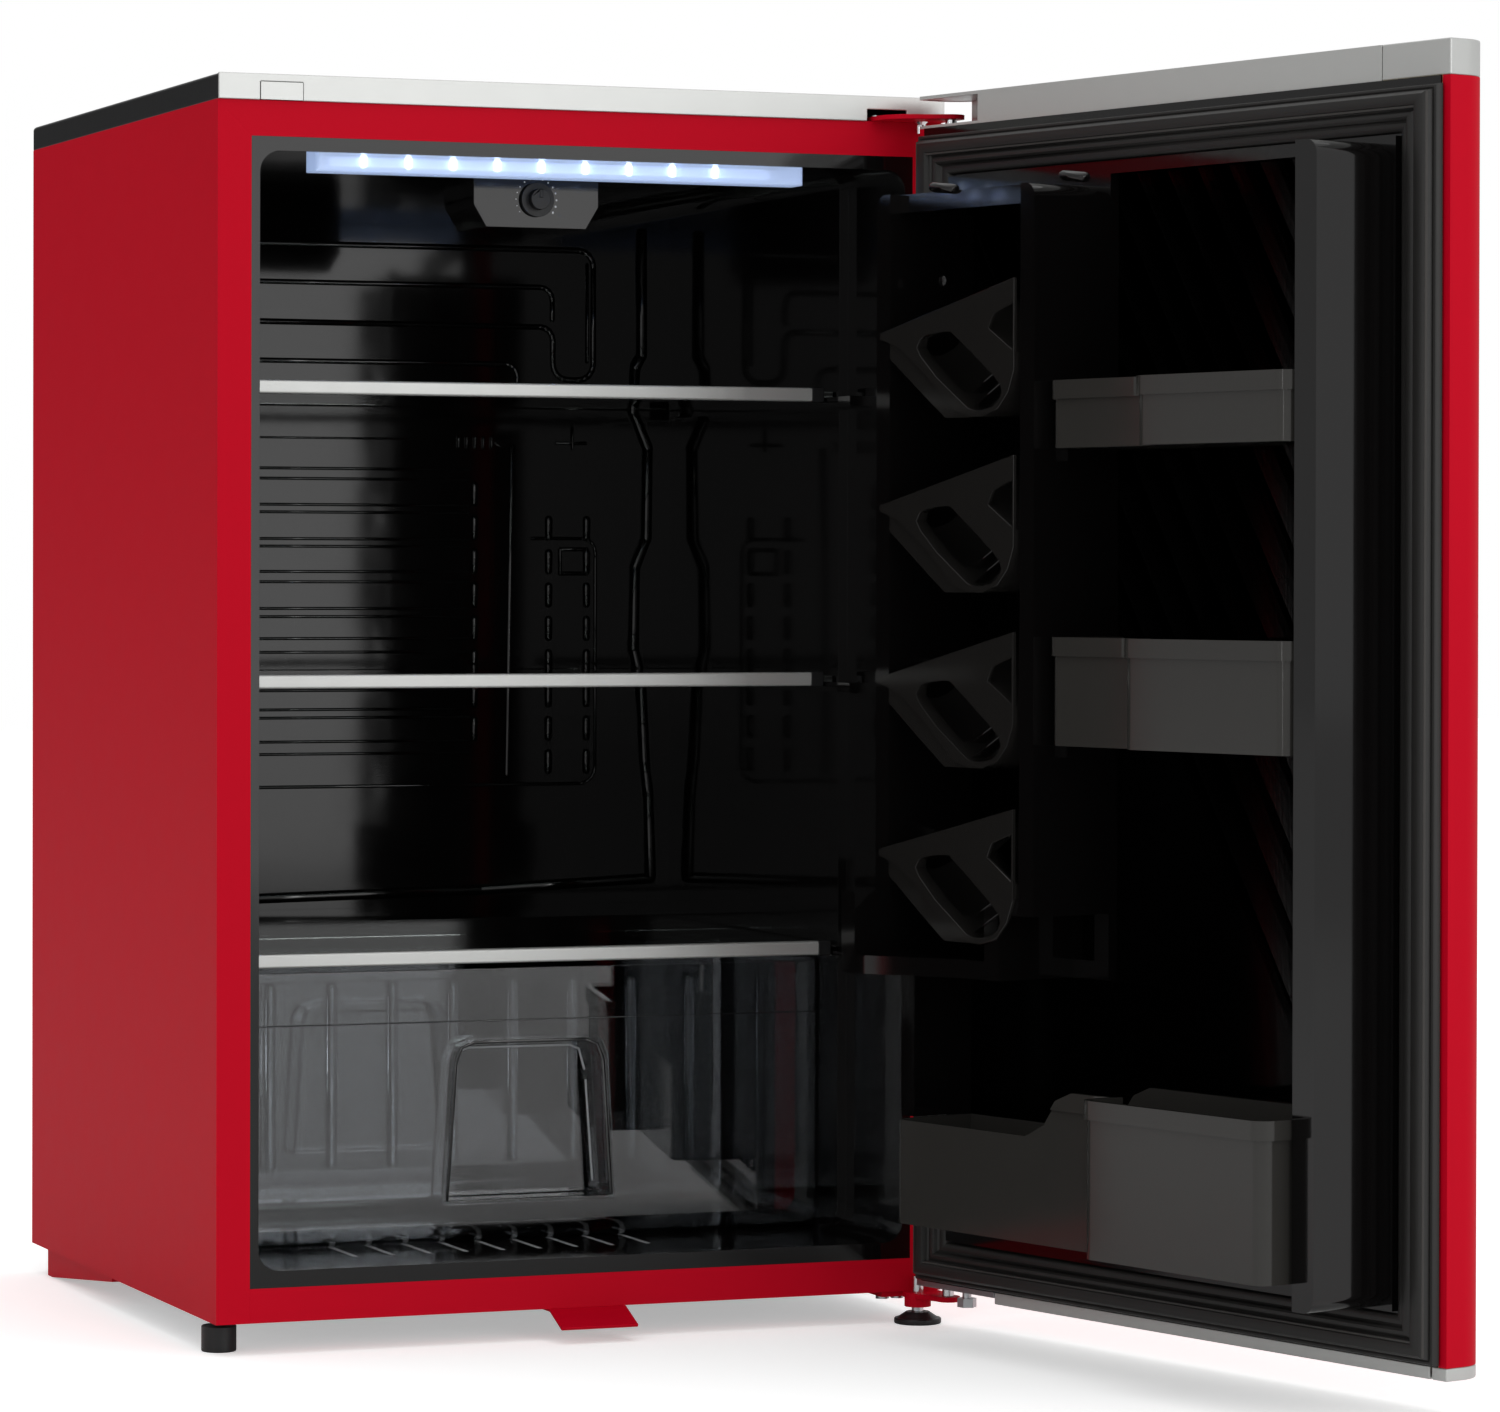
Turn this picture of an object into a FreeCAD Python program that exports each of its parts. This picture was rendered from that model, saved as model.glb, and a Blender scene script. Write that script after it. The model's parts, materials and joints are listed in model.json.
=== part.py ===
"""Compact refrigerator with one door, hinged on the right and standing open.

Millimetres. +Z is up, the cabinet's front plane is y = 0 with the room on the -Y side, x = 0 is
the middle of the cabinet and z = 0 is the floor. Door pieces are drawn on the closed door and then
turned together about the hinge line. Driving sizes are cells of the sheet Sizes.
"""
import FreeCAD, Part
import math
import os
import re

import Sketcher

doc = FreeCAD.newDocument("compact_fridge")
sheet = doc.addObject("Spreadsheet::Sheet", "Sizes")
V = FreeCAD.Vector

SIZES = [
    # cabinet shell
    ("cab_width", 512, "cabinet width"),
    ("cab_depth", 472, "cabinet depth without the door"),
    ("cab_height", 831, "floor to worktop"),
    ("worktop_high", 17, "worktop height"),
    ("panel_bottom", 21, "floor to the side panels"),
    ("steel", 1, "steel sheet"),
    ("flange", 22.7, "side panel front flange"),
    ("flange_lip", 9, "depth of the flange's return"),
    ("rear_flange", 14, "side panel rear flange"),
    ("top_rail", 23.3, "top rail height"),
    ("low_rail", 22.5, "bottom rail height"),
    ("low_rail_deep", 25, "bottom rail depth"),
    ("top_wall", 2.5, "worktop wall"),
    ("strip_thick", 2, "worktop front strip"),
    ("hinge_cut_in", 28, "strip cut-out, from the cabinet side"),
    ("hinge_cut_wide", 29, "strip cut-out width"),
    ("hinge_cut_high", 8, "strip cut-out height"),
    ("cover_high", 12, "height of the plug over the unused hinge holes"),
    ("fit_gap", 0.3, "gap between trim pieces"),
    # liner and insulation
    ("liner_thick", 1.5, "liner sheet"),
    ("opening_in", 28.5, "cabinet side to clear opening"),
    ("opening_top", 781.5, "top of the clear opening"),
    ("opening_low", 54.5, "bottom of the clear opening"),
    ("ceiling_rise", 5.5, "ceiling above the opening"),
    ("front_zone", 98, "depth of the wide front part of the interior"),
    ("wall_step", 6.5, "how far the walls step in behind it"),
    ("lip_deep", 6, "depth of the opening's lip"),
    ("inner_back", 425, "interior back wall"),
    ("hump_top", 262, "top of the step over the compressor"),
    ("hump_front", 285, "front of that step"),
    ("inner_round", 14, "interior corner radius"),
    ("bay_wall", 30, "insulation round the compressor bay"),
    ("plate_wide", 380, "evaporator plate width"),
    ("plate_thick", 1.5, "evaporator plate thickness"),
    ("ledge_wide", 8, "shelf ledge width"),
    ("ledge_high", 7, "shelf ledge height"),
    ("ledge_front", 60, "front end of the ledges, clear of the door's pillar"),
    ("ledge_back", 405, "rear end of the ledges"),
    # shelves and drawer
    ("glass", 4, "shelf glass"),
    ("glass_gap", 1.5, "glass to side wall"),
    ("shelf_front", 104, "front of the shelves"),
    ("shelf_back", 402, "rear edge of the shelves"),
    ("cover_front", 90, "front of the crisper cover"),
    ("trim_deep", 9, "shelf trim depth"),
    ("trim_low", 2.8, "shelf trim below the glass"),
    ("trim_high", 2.6, "shelf trim above the glass"),
    ("trim_gap", 1, "trim end to ledge"),
    ("upper_shelf_z", 630.5, "underside of the upper glass"),
    ("middle_shelf_z", 433, "underside of the middle glass"),
    ("crisper_cover_z", 247, "underside of the crisper cover"),
    ("drawer_front", 95, "front of the crisper drawer"),
    ("drawer_back", 281, "rear of the crisper drawer"),
    ("drawer_gap", 2.5, "drawer to ledge"),
    ("drawer_low", 54.8, "underside of the drawer"),
    ("drawer_top", 240.5, "rim of the drawer"),
    ("drawer_wall", 2.5, "drawer wall"),
    ("drawer_round", 14, "drawer corner radius"),
    ("grip_wide", 108, "drawer grip pocket width"),
    ("grip_shift", -7, "drawer grip pocket, from the middle"),
    ("grip_low", 84, "drawer grip pocket, lower edge"),
    ("grip_top", 191, "drawer grip pocket, upper edge"),
    ("grip_deep", 25, "drawer grip pocket depth"),
    # light and thermostat
    ("lens_wide", 348, "lamp lens width"),
    ("lens_front", 49, "front of the lamp lens"),
    ("lens_deep", 26, "lamp lens depth"),
    ("lens_high", 14, "lamp lens height"),
    ("lens_wall", 1.4, "lamp lens wall"),
    ("led_count", 9, "number of LEDs"),
    ("stat_front", 105, "front of the thermostat housing"),
    ("stat_deep", 60, "thermostat housing depth"),
    ("stat_wide", 90, "thermostat housing width"),
    ("stat_high", 44, "thermostat housing height"),
    ("stat_wall", 2, "thermostat housing wall"),
    ("knob_z", 762, "knob axis"),
    ("knob_rim", 11.7, "knob skirt radius"),
    ("knob_grip", 7, "knob grip radius"),
    ("shaft_r", 3, "knob shaft radius"),
    ("run_gap", 0.05, "running clearance, radial"),
    # door
    ("door_gap", 13, "door's metal to the cabinet front"),
    ("door_thick", 38, "door thickness"),
    ("door_top", 829, "top of the door"),
    ("door_low", 25, "bottom of the door"),
    ("door_round", 24, "door's vertical front corner radius"),
    ("door_open", 104.5, "how far the door stands open, degrees"),
    ("pin_in", 9, "hinge line from the cabinet side"),
    ("pin_deep", 20, "hinge line behind the door's inner face"),
    ("pin_r", 4, "hinge pin radius"),
    ("bush_r", 6.5, "hinge bush radius"),
    ("bush_high", 14, "hinge bush length"),
    ("door_lip", 7, "door skin's return onto the inner face"),
    ("cap_trim", 22, "top trim height"),
    ("foot_trim", 8, "bottom trim height"),
    ("trim_wall", 2, "trim wall"),
    ("cap_end", 60, "length of the top trim's end cap"),
    ("foot_end", 13, "length of the bottom trim's end cap"),
    ("pocket_wide", 62, "hinge pocket in the top trim"),
    ("foot_gap_wide", 83, "hinge plate under the door"),
    ("seal_out", 5, "gasket from the door's edge"),
    ("seal_wide", 33.5, "gasket width"),
    ("seal_low", 34, "gasket's lower edge"),
    ("seal_top", 802, "gasket's upper edge"),
    ("seal_end", 28, "gasket width at top and bottom"),
    ("seal_proud", 0.6, "closed gasket to cabinet"),
    ("land_deep", 1.5, "gasket land, in front of the door's metal"),
    ("field_deep", 7, "liner field, in front of the door's metal"),
    ("recess_deep", 8, "recess floor, behind the door's metal"),
    ("low_recess_deep", 1, "lower recess floor, behind the door's metal"),
    ("dyke_high", 57, "liner walls, from the cabinet front plane"),
    ("dyke_out", 41, "pillar's outer face from the door's edge"),
    ("pillar_wide", 19, "free-side pillar"),
    ("column_out", 44, "can column's outer face from the door's edge"),
    ("column_wall", 14, "can column walls"),
    ("column_wide", 135, "clear width of the can column"),
    ("dyke_top", 757, "top of the can column"),
    ("dyke_round", 9, "corner radius of the raised walls"),
    ("pillar_low", 66, "bottom of the pillar"),
    ("pillar_top", 768, "top of the pillar"),
    ("tray_low", 247, "underside of the can tray"),
    ("tray_wall", 12, "can tray wall"),
    ("tray_high", 85, "tray's lip, from the cabinet front plane"),
    ("tray_rise", 300, "top of the tray's outer lip"),
    ("tray_wide", 114, "clear width of the can tray"),
    ("heel_low", 150, "lower end of the outer dyke"),
    ("heel_high", 35, "height of the outer dyke there"),
    # bins and can holders
    ("bin_wall", 2.4, "bin wall"),
    ("bin_gap", 1.5, "bin to liner"),
    ("bin_rim", 12, "bin rim band"),
    ("rim_out", 2, "rim band stands out"),
    ("bin_round", 11, "bin corner radius"),
    ("bin_high_front", 49, "front of the bins' shallow part"),
    ("bulge_front", 62, "front of the bins' deep part"),
    ("upper_bin_z", 588, "underside of the upper bin"),
    ("upper_bin_high", 43, "upper bin height"),
    ("upper_bulge", 145, "upper bin's deep part"),
    ("middle_bin_z", 399, "underside of the middle bin"),
    ("middle_bin_high", 69, "middle bin height"),
    ("middle_bulge", 156, "middle bin's deep part"),
    ("bottom_bin_z", 82, "underside of the bottom bin"),
    ("bottom_bin_high", 99, "bottom bin height"),
    ("bottom_bin_step", 68, "bottom bin height at the hinge side"),
    ("step_high", 205, "bottom bin's step begins, from its free end"),
    ("step_low", 245, "and ends"),
    ("bottom_bulge", 172, "bottom bin's deep part"),
    ("bottom_front", 57, "front of the bottom bin's shallow part"),
    ("bottom_bulge_front", 80, "front of the bottom bin's deep part"),
    ("lug", 6, "bin lug"),
    ("can_r", 33.5, "can cradle radius"),
    ("can_tilt", 35, "can axis below level, degrees"),
    ("can_first", 666, "left tip of the first can holder"),
    ("can_pitch", 113, "can holder pitch"),
    ("can_plate", 2.5, "can holder front plate"),
    # hinges and feet
    ("hinge_plate", 3, "upper hinge plate"),
    ("bracket", 3.5, "lower hinge bracket"),
    ("stem_in", 19.5, "levelling stem from the cabinet side"),
    ("stem_out", 6, "levelling stem in front of the cabinet"),
    ("stem_r", 4, "levelling stem radius"),
    ("stem_top", 32, "top of the levelling stem"),
    ("pad_r", 16, "levelling pad radius"),
    ("foot_r", 11.5, "left foot radius"),
    ("foot_in", 11, "left foot from the cabinet side"),
    ("foot_back", 31, "left foot from the cabinet front"),
    ("foot_high", 17, "left foot height"),
    ("screw_r", 2, "hinge screw radius"),
    ("head_r", 4.5, "hinge screw head radius"),
    ("head_high", 2.2, "hinge screw head height"),
    ("tab_wide", 54, "front tab width"),
    ("tab_thick", 2, "front tab sheet"),
    ("runner", 12, "rear runner width"),
    # refrigeration
    ("comp_x", 70, "compressor axis, across"),
    ("comp_y", 396, "compressor axis, front to back"),
    ("comp_r", 58, "compressor radius"),
    ("comp_low", 46, "lower weld of the compressor shell"),
    ("comp_high", 84, "straight part of the shell"),
    ("coil_r", 2.4, "condenser tube radius"),
    ("wire_r", 0.8, "condenser wire radius"),
    ("coil_half", 200, "condenser half width"),
    ("coil_low", 270, "lowest condenser run"),
    ("coil_rows", 13, "condenser runs"),
    ("coil_pitch", 40, "condenser run pitch"),
    ("coil_wires", 21, "condenser wires per side"),
    ("coil_back", 10, "condenser behind the cabinet"),
    ("spacer_deep", 18, "rear spacer depth"),
]

for row, (alias, value, note) in enumerate(SIZES, 1):
    sheet.set(f"A{row}", note)
    sheet.set(f"B{row}", str(value))
    sheet.setAlias(f"B{row}", alias)
doc.recompute()
ALIASES = {alias for alias, _, _ in SIZES}


def size(alias):
    """A sheet value, for the few shapes that code works out."""
    return float(sheet.get(alias))


def formula(text):
    """A formula in sheet names, as the expression engine reads it."""
    return re.sub(r"[a-z_]+", lambda m: "Sizes." + m[0] if m[0] in ALIASES else m[0], str(text))


def new(kind, name):
    item = doc.addObject(kind, name)
    item.Label = name + "_stage"
    return item


def bind(item, **properties):
    for name, text in properties.items():
        item.setExpression(name.replace("__", "."), formula(text))
    return item


def block(name, x, y, z):
    """A box between two planes on each axis."""
    item = new("Part::Box", name)
    bind(item, Length=f"({x[1]}) - ({x[0]})", Width=f"({y[1]}) - ({y[0]})", Height=f"({z[1]}) - ({z[0]})")
    return bind(item, Placement__Base__x=x[0], Placement__Base__y=y[0], Placement__Base__z=z[0])


TURNS = {"x": (V(0, 1, 0), 90), "y": (V(1, 0, 0), -90), "z": (V(0, 0, 1), 0)}


def rod(name, axis, x, y, z, radius, length):
    """A cylinder that starts at a point and runs along +X, +Y or +Z."""
    item = new("Part::Cylinder", name)
    item.Placement.Rotation = FreeCAD.Rotation(*TURNS[axis])
    bind(item, Radius=radius, Height=length)
    return bind(item, Placement__Base__x=x, Placement__Base__y=y, Placement__Base__z=z)


def fuse(name, parts):
    item = new("Part::MultiFuse", name)
    item.Shapes = parts
    item.Refine = True
    return item


def cut(name, base, tools):
    item = new("Part::Cut", name)
    item.Base = base
    item.Tool = tools[0] if len(tools) == 1 else fuse(name + "_tool", tools)
    return item


def common(name, base, tool):
    item = new("Part::MultiCommon", name)
    item.Shapes = [base, tool]
    return item


def rounded(name, base, radius, directions, where=None):
    """Fillet the straight edges that run along the given axes, or those of them that where picks."""
    doc.recompute()
    item = new("Part::Fillet", name)
    item.Base = base
    picked = []
    for number, edge in enumerate(base.Shape.Edges, 1):
        run = edge.Vertexes[-1].Point - edge.Vertexes[0].Point
        along = [axis for axis, part in zip("xyz", run) if abs(part) > 0.99 * run.Length]
        if along and along[0] in directions and (where is None or where(edge.CenterOfMass)):
            picked.append((number, radius, radius))
    item.Edges = picked
    return item


PLANES = {"XY": "XY_Plane", "XZ": "XZ_Plane", "YZ": "YZ_Plane"}


def outline(name, plane, points, low, high):
    """A body: a closed polygon on an origin plane, every corner bound to the sheet, and padded between
    two levels. Sketch axes are (x, y), (x, z) and (y, z) on XY, XZ and YZ."""
    body = new("PartDesign::Body", name)
    sketch = body.newObject("Sketcher::SketchObject", name + "_outline")
    origin = [f for f in body.Origin.OriginFeatures if f.Role == PLANES[plane]][0]
    sketch.AttachmentSupport = [(origin, "")]
    sketch.MapMode = "FlatFace"
    # the XZ plane faces -Y, so its pad starts at the high level and runs down to the low one
    level = f"-({high})" if plane == "XZ" else low
    sketch.setExpression("AttachmentOffset.Base.z", formula(level))
    places = [tuple(evaluate(part) for part in point) for point in points]
    for number, (px, py) in enumerate(places):
        qx, qy = places[(number + 1) % len(places)]
        sketch.addGeometry(Part.LineSegment(V(px, py, 0), V(qx, qy, 0)), False)
    for number in range(len(places)):
        sketch.addConstraint(Sketcher.Constraint("Coincident", number, 2, (number + 1) % len(places), 1))
    for number, point in enumerate(points):
        for kind, axis, text, at in zip(("DistanceX", "DistanceY"), "uv", point, places[number]):
            index = sketch.addConstraint(Sketcher.Constraint(kind, -1, 1, number, 1, at))
            sketch.renameConstraint(index, f"{axis}{number}")
            sketch.setExpression(f".Constraints.{axis}{number}", formula(text))
    pad = body.newObject("PartDesign::Pad", name + "_pad")
    pad.Profile = sketch
    pad.setExpression("Length", formula(f"({high}) - ({low})"))
    body.Tip = pad
    return body


def evaluate(text):
    """The value of a formula in sheet names."""
    value = sheet.evalExpression(formula(text))
    return float(getattr(value, "Value", value))


NODES = []


def node(name, item, on_door=False):
    """Name a finished sub-part; a door piece turns with the door about the hinge line."""
    item.Label = name
    if on_door:
        item.setExpression("Placement", formula(
            "placement(vector(0; 0; 0); rotation(vector(0; 0; 1); door_open);"
            f" vector({PIN_X}; {PIN_Y}; 0))"))
    NODES.append(item)
    return item


# Places that several pieces share.
SIDE = "cab_width / 2"
PANEL_TOP = "(cab_height - worktop_high)"
PIN_X = "(cab_width / 2 - pin_in)"
PIN_Y = "(-door_gap - pin_deep)"
STEM_X = "(cab_width / 2 - stem_in)"
STEM_Y = "(-stem_out)"
FOOT_X = "(foot_in - cab_width / 2)"
OPEN_HALF = "(cab_width / 2 - opening_in)"
INNER_HALF = "(cab_width / 2 - opening_in - wall_step)"
CEILING = "(opening_top + ceiling_rise)"
BAY_TOP = "(hump_top - liner_thick - bay_wall)"
BAY_FRONT = "(hump_front + liner_thick + bay_wall)"
LEDGE_HALF = "(cab_width / 2 - opening_in - wall_step - ledge_wide)"
INSIDE = "(-door_gap)"
OUTSIDE = "(-door_gap - door_thick)"
SKIN_LOW = "(door_low + foot_trim)"
SKIN_TOP = "(door_top - cap_trim)"


def both_sides(build):
    """The same piece on the left (-1) and on the right (1)."""
    return [build(sign) for sign in (-1, 1)]


# ---- cabinet shell ---------------------------------------------------------------------------


def side_panel(sign):
    """Folded side: outer sheet, front flange with a return, rear flange, and a mitred top corner."""
    name = "side_panel_left" if sign < 0 else "side_panel_right"

    def at(inward):
        return f"{sign} * (cab_width / 2 - ({inward}))"

    body = outline(name, "XY", [
        (at("0"), "0"), (at("flange"), "0"), (at("flange"), "flange_lip"),
        (at("flange - steel"), "flange_lip"), (at("flange - steel"), "steel"), (at("steel"), "steel"),
        (at("steel"), "cab_depth - steel"), (at("rear_flange"), "cab_depth - steel"),
        (at("rear_flange"), "cab_depth"), (at("0"), "cab_depth")], "panel_bottom", PANEL_TOP)
    mitre = outline(name + "_mitre", "XZ", [
        (at("0"), PANEL_TOP), (at("flange"), PANEL_TOP), (at("flange"), f"{PANEL_TOP} - top_rail")],
        "-steel", "flange_lip + steel")
    return node(name, cut(name + "_cut", body, [mitre]))


both_sides(side_panel)

HINGE_SCREWS = [(f"cab_width / 2 - {inward}", "flange_lip + 8") for inward in (44, 28, 12)]
BRACKET_SCREWS = [(f"cab_width / 2 - flange - {inward}", "low_rail_deep / 2") for inward in (4, 15)]


def screw_shafts(name, places, low, length):
    return fuse(name, [rod(f"{name}_{number}", "z", x, y, low, "screw_r", length)
                       for number, (x, y) in enumerate(places)])


upper_shafts = screw_shafts("upper_shafts", HINGE_SCREWS, f"{PANEL_TOP} - 8", "8 + hinge_plate")
lower_shafts = screw_shafts("lower_shafts", BRACKET_SCREWS, "panel_bottom - bracket", "bracket + 6")


def top_panel():
    """Top sheet with the mitred front rail and its return."""
    sheet_part = block("top_sheet", (f"steel - {SIDE}", f"{SIDE} - steel"), ("0", "cab_depth - 2 * steel"),
                       (f"{PANEL_TOP} - steel", PANEL_TOP))
    rail = outline("top_rail_face", "XZ", [
        (f"-({SIDE})", PANEL_TOP), (SIDE, PANEL_TOP), (f"{SIDE} - flange", f"{PANEL_TOP} - top_rail"),
        (f"flange - {SIDE}", f"{PANEL_TOP} - top_rail")], "0", "steel")
    lip = block("top_rail_lip", (f"flange - {SIDE}", f"{SIDE} - flange"), ("0", "flange_lip"),
                (f"{PANEL_TOP} - top_rail", f"{PANEL_TOP} - top_rail + steel"))
    return node("top_panel", cut("top_panel", fuse("top_panel_sheet", [sheet_part, rail, lip]),
                                 [upper_shafts]))


top_panel()


def bottom_rail():
    """Channel across the front under the opening."""
    top = "panel_bottom + low_rail"
    body = outline("bottom_rail", "YZ", [
        ("0", "panel_bottom"), ("low_rail_deep", "panel_bottom"), ("low_rail_deep", "panel_bottom + steel"),
        ("steel", "panel_bottom + steel"), ("steel", f"{top} - steel"), ("flange_lip", f"{top} - steel"),
        ("flange_lip", top), ("0", top)], f"flange - {SIDE}", f"{SIDE} - flange")
    return node("bottom_rail", cut("bottom_rail_cut", body, [lower_shafts]))


bottom_rail()


def back_panel():
    return node("back_panel", block(
        "back_panel", (f"steel - {SIDE}", f"{SIDE} - steel"), ("cab_depth - 2 * steel", "cab_depth - steel"),
        (BAY_TOP, PANEL_TOP)))


back_panel()
foot_bore = rod("foot_bore", "z", FOOT_X, "foot_back", "panel_bottom - 1", "stem_r + run_gap", "30")


def bottom_panel():
    """Floor sheet, folded up and back over the compressor bay."""
    body = outline("bottom_panel", "YZ", [
        ("low_rail_deep", "panel_bottom"), (BAY_FRONT, "panel_bottom"), (BAY_FRONT, f"{BAY_TOP} - steel"),
        ("cab_depth - 2 * steel", f"{BAY_TOP} - steel"), ("cab_depth - 2 * steel", BAY_TOP),
        (f"{BAY_FRONT} - steel", BAY_TOP), (f"{BAY_FRONT} - steel", "panel_bottom + steel"),
        ("low_rail_deep", "panel_bottom + steel")], f"steel - {SIDE}", f"{SIDE} - steel")
    return node("bottom_panel", cut("bottom_panel_cut", body, [foot_bore]))


bottom_panel()


def worktop():
    """Hollow plastic top, notched at the front for the hinge plate."""
    shell = rounded("worktop_block", block(
        "worktop_slab", (f"-({SIDE})", SIDE), ("0", "cab_depth"), (PANEL_TOP, "cab_height")),
        3, "xyz", lambda p: p.z > size("cab_height") - 1 and p.y > 1)
    inside = block("worktop_inside", (f"top_wall - {SIDE}", f"{SIDE} - top_wall"),
                   ("top_wall", "cab_depth - top_wall"), (f"{PANEL_TOP} - 1", "cab_height - top_wall"))
    notch = block("worktop_notch", (f"{SIDE} - hinge_cut_in - hinge_cut_wide", f"{SIDE} + 1"),
                  ("-1", "top_wall + 1"), (f"{PANEL_TOP} - 1", f"{PANEL_TOP} + hinge_cut_high"))
    return node("worktop", cut("worktop", shell, [inside, notch]))


worktop()


def strip_hole(name, sign, high):
    """Cut-out in the front strip over one set of hinge holes."""
    near = f"{sign} * ({SIDE} - hinge_cut_in)"
    far = f"{sign} * ({SIDE} - hinge_cut_in - hinge_cut_wide)"
    span = (far, near) if sign > 0 else (near, far)
    return block(name, span, ("-strip_thick - 1", "1"), (f"{PANEL_TOP} - 1", f"{PANEL_TOP} + {high}"))


def worktop_front_strip():
    strip = block("strip_bar", (f"-({SIDE})", SIDE), ("-strip_thick", "0"), (PANEL_TOP, "cab_height"))
    relief = block("strip_relief", (f"{SIDE} - hinge_cut_in - hinge_cut_wide", f"{SIDE} + 1"),
                   ("-strip_thick - 1", "1"), (f"{PANEL_TOP} - 1", f"{PANEL_TOP} + hinge_plate + fit_gap"))
    return node("worktop_front_strip", cut("worktop_front_strip", strip, [
        strip_hole("strip_hole_right", 1, "hinge_cut_high"), strip_hole("strip_hole_left", -1, "cover_high"),
        relief]))


worktop_front_strip()


def hinge_hole_cover():
    """Plug over the hinge holes that the other hand would use."""
    return node("hinge_hole_cover", block(
        "hinge_hole_cover", (f"hinge_cut_in + fit_gap - {SIDE}", f"hinge_cut_in + hinge_cut_wide - fit_gap - {SIDE}"),
        ("-strip_thick - fit_gap", "-fit_gap"), (f"{PANEL_TOP} + fit_gap", f"{PANEL_TOP} + cover_high - fit_gap")))


hinge_hole_cover()

# ---- liner and insulation --------------------------------------------------------------------


def interior(name, grow):
    """The space inside the liner, grown by a wall: lip, wide front part, shelf part, less the step."""
    low = f"opening_low - {grow}"

    def zone(part, half, near, far, top):
        return rounded(f"{name}_{part}_round", block(
            f"{name}_{part}", (f"-{half} - {grow}", f"{half} + {grow}"), (near, far), (low, top)),
            size("inner_round"), "y")

    step = block(f"{name}_step", (f"-{SIDE}", SIDE), (f"hump_front + {grow}", "inner_back + 50"),
                 ("0", f"hump_top - {grow}"))
    # the cavity starts a little before the front plane, so that it opens it
    start = "0" if grow != "0" else "-1"
    space = fuse(f"{name}_space", [
        zone("lip", OPEN_HALF, start, "lip_deep", f"opening_top + {grow}"),
        zone("front", OPEN_HALF, f"lip_deep - {grow}", f"front_zone + {grow}", f"{CEILING} + {grow}"),
        zone("rear", INNER_HALF, "lip_deep", f"inner_back + {grow}", f"{CEILING} + {grow}")])
    return cut(name, space, [step])


liner_outside = interior("liner_outside", "liner_thick")
cavity = interior("cavity", "0")


def inner_liner():
    """One formed sheet: front strip, walls, and ledges for the three shelves."""
    strip = block("liner_strip", (f"flange - {SIDE}", f"{SIDE} - flange"), ("0", "liner_thick"),
                  ("panel_bottom + low_rail", f"{PANEL_TOP} - top_rail"))
    wall = cut("liner_wall", fuse("liner_block", [liner_outside, strip]), [cavity])
    ledges = []
    for shelf in ("upper_shelf_z", "middle_shelf_z", "crisper_cover_z"):
        for sign in (-1, 1):
            inner, outer = f"{sign} * {LEDGE_HALF}", f"{sign} * ({OPEN_HALF} + liner_thick / 2)"
            span = (inner, outer) if sign > 0 else (outer, inner)
            back = "hump_front" if shelf == "crisper_cover_z" else "ledge_back"
            ledges.append(block(f"ledge_{shelf}_{'left' if sign < 0 else 'right'}", span,
                                ("ledge_front", back), (f"{shelf} - ledge_high", shelf)))
    shaped = common("ledges_in_liner", fuse("ledges", ledges), liner_outside)
    return node("inner_liner", fuse("inner_liner", [wall, shaped]))


inner_liner()


def evaporator(name):
    """Flat evaporator plate against the back of the liner, held in the foam."""
    near = "(inner_back + liner_thick)"
    return block(name, ("-plate_wide / 2", "plate_wide / 2"), (near, f"{near} + plate_thick"),
                 ("hump_top + 70", "opening_top - 12"))


node("evaporator_plate", evaporator("evaporator_plate"))


def cabinet_foam():
    """Insulation between the panels and the liner, clear of the flanges' returns."""
    body = block("foam_block", (f"steel - {SIDE}", f"{SIDE} - steel"), ("flange_lip", "cab_depth - 2 * steel"),
                 ("panel_bottom + low_rail", f"{PANEL_TOP} - steel"))
    under = block("foam_floor", (f"steel - {SIDE}", f"{SIDE} - steel"), ("low_rail_deep", "cab_depth - 2 * steel"),
                  ("panel_bottom + steel", "panel_bottom + low_rail"))
    bay = block("foam_bay", (f"-{SIDE}", SIDE), (f"{BAY_FRONT} - steel", "cab_depth"), ("0", BAY_TOP))
    outside = interior("foam_hollow", "liner_thick")
    return node("cabinet_foam", cut("cabinet_foam", fuse("foam_whole", [body, under]), [
        outside, bay, evaporator("foam_plate_slot"), foot_bore, upper_shafts]))


cabinet_foam()

# ---- base, feet and hinges -------------------------------------------------------------------


def base_plate():
    """Compressor carrier: a plate with a runner down each side, which stands on the floor at the rear."""
    plate = block("base_sheet", (f"runner - {SIDE}", f"{SIDE} - runner"), (BAY_FRONT, "cab_depth - 3"),
                  ("panel_bottom - 2", "panel_bottom"))

    def rail(sign):
        near, far = f"{sign} * ({SIDE} - 5 - runner)", f"{sign} * ({SIDE} - 5)"
        low, high = (near, far) if sign > 0 else (far, near)
        return outline(f"runner_{'left' if sign < 0 else 'right'}", "YZ", [
            ("cab_depth - 200", "panel_bottom - 5"), ("cab_depth - 126", "9"), ("cab_depth - 38", "0"),
            ("cab_depth - 26", "0"), ("cab_depth - 26", "panel_bottom"), ("cab_depth - 200", "panel_bottom")],
            low, high)

    return node("base_plate", fuse("base_plate", [plate] + both_sides(rail)))


base_plate()


def front_tab():
    """Bent tab under the bottom rail."""
    return node("front_tab", outline("front_tab", "YZ", [
        ("38", "panel_bottom - tab_thick"), ("38", "panel_bottom"), ("-1", "panel_bottom"),
        ("-24.5", "panel_bottom - 9.5"), ("-23.7", "panel_bottom - 9.5 - tab_thick"),
        ("-0.6", "panel_bottom - tab_thick")], "-tab_wide / 2", "tab_wide / 2"))


front_tab()


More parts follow.
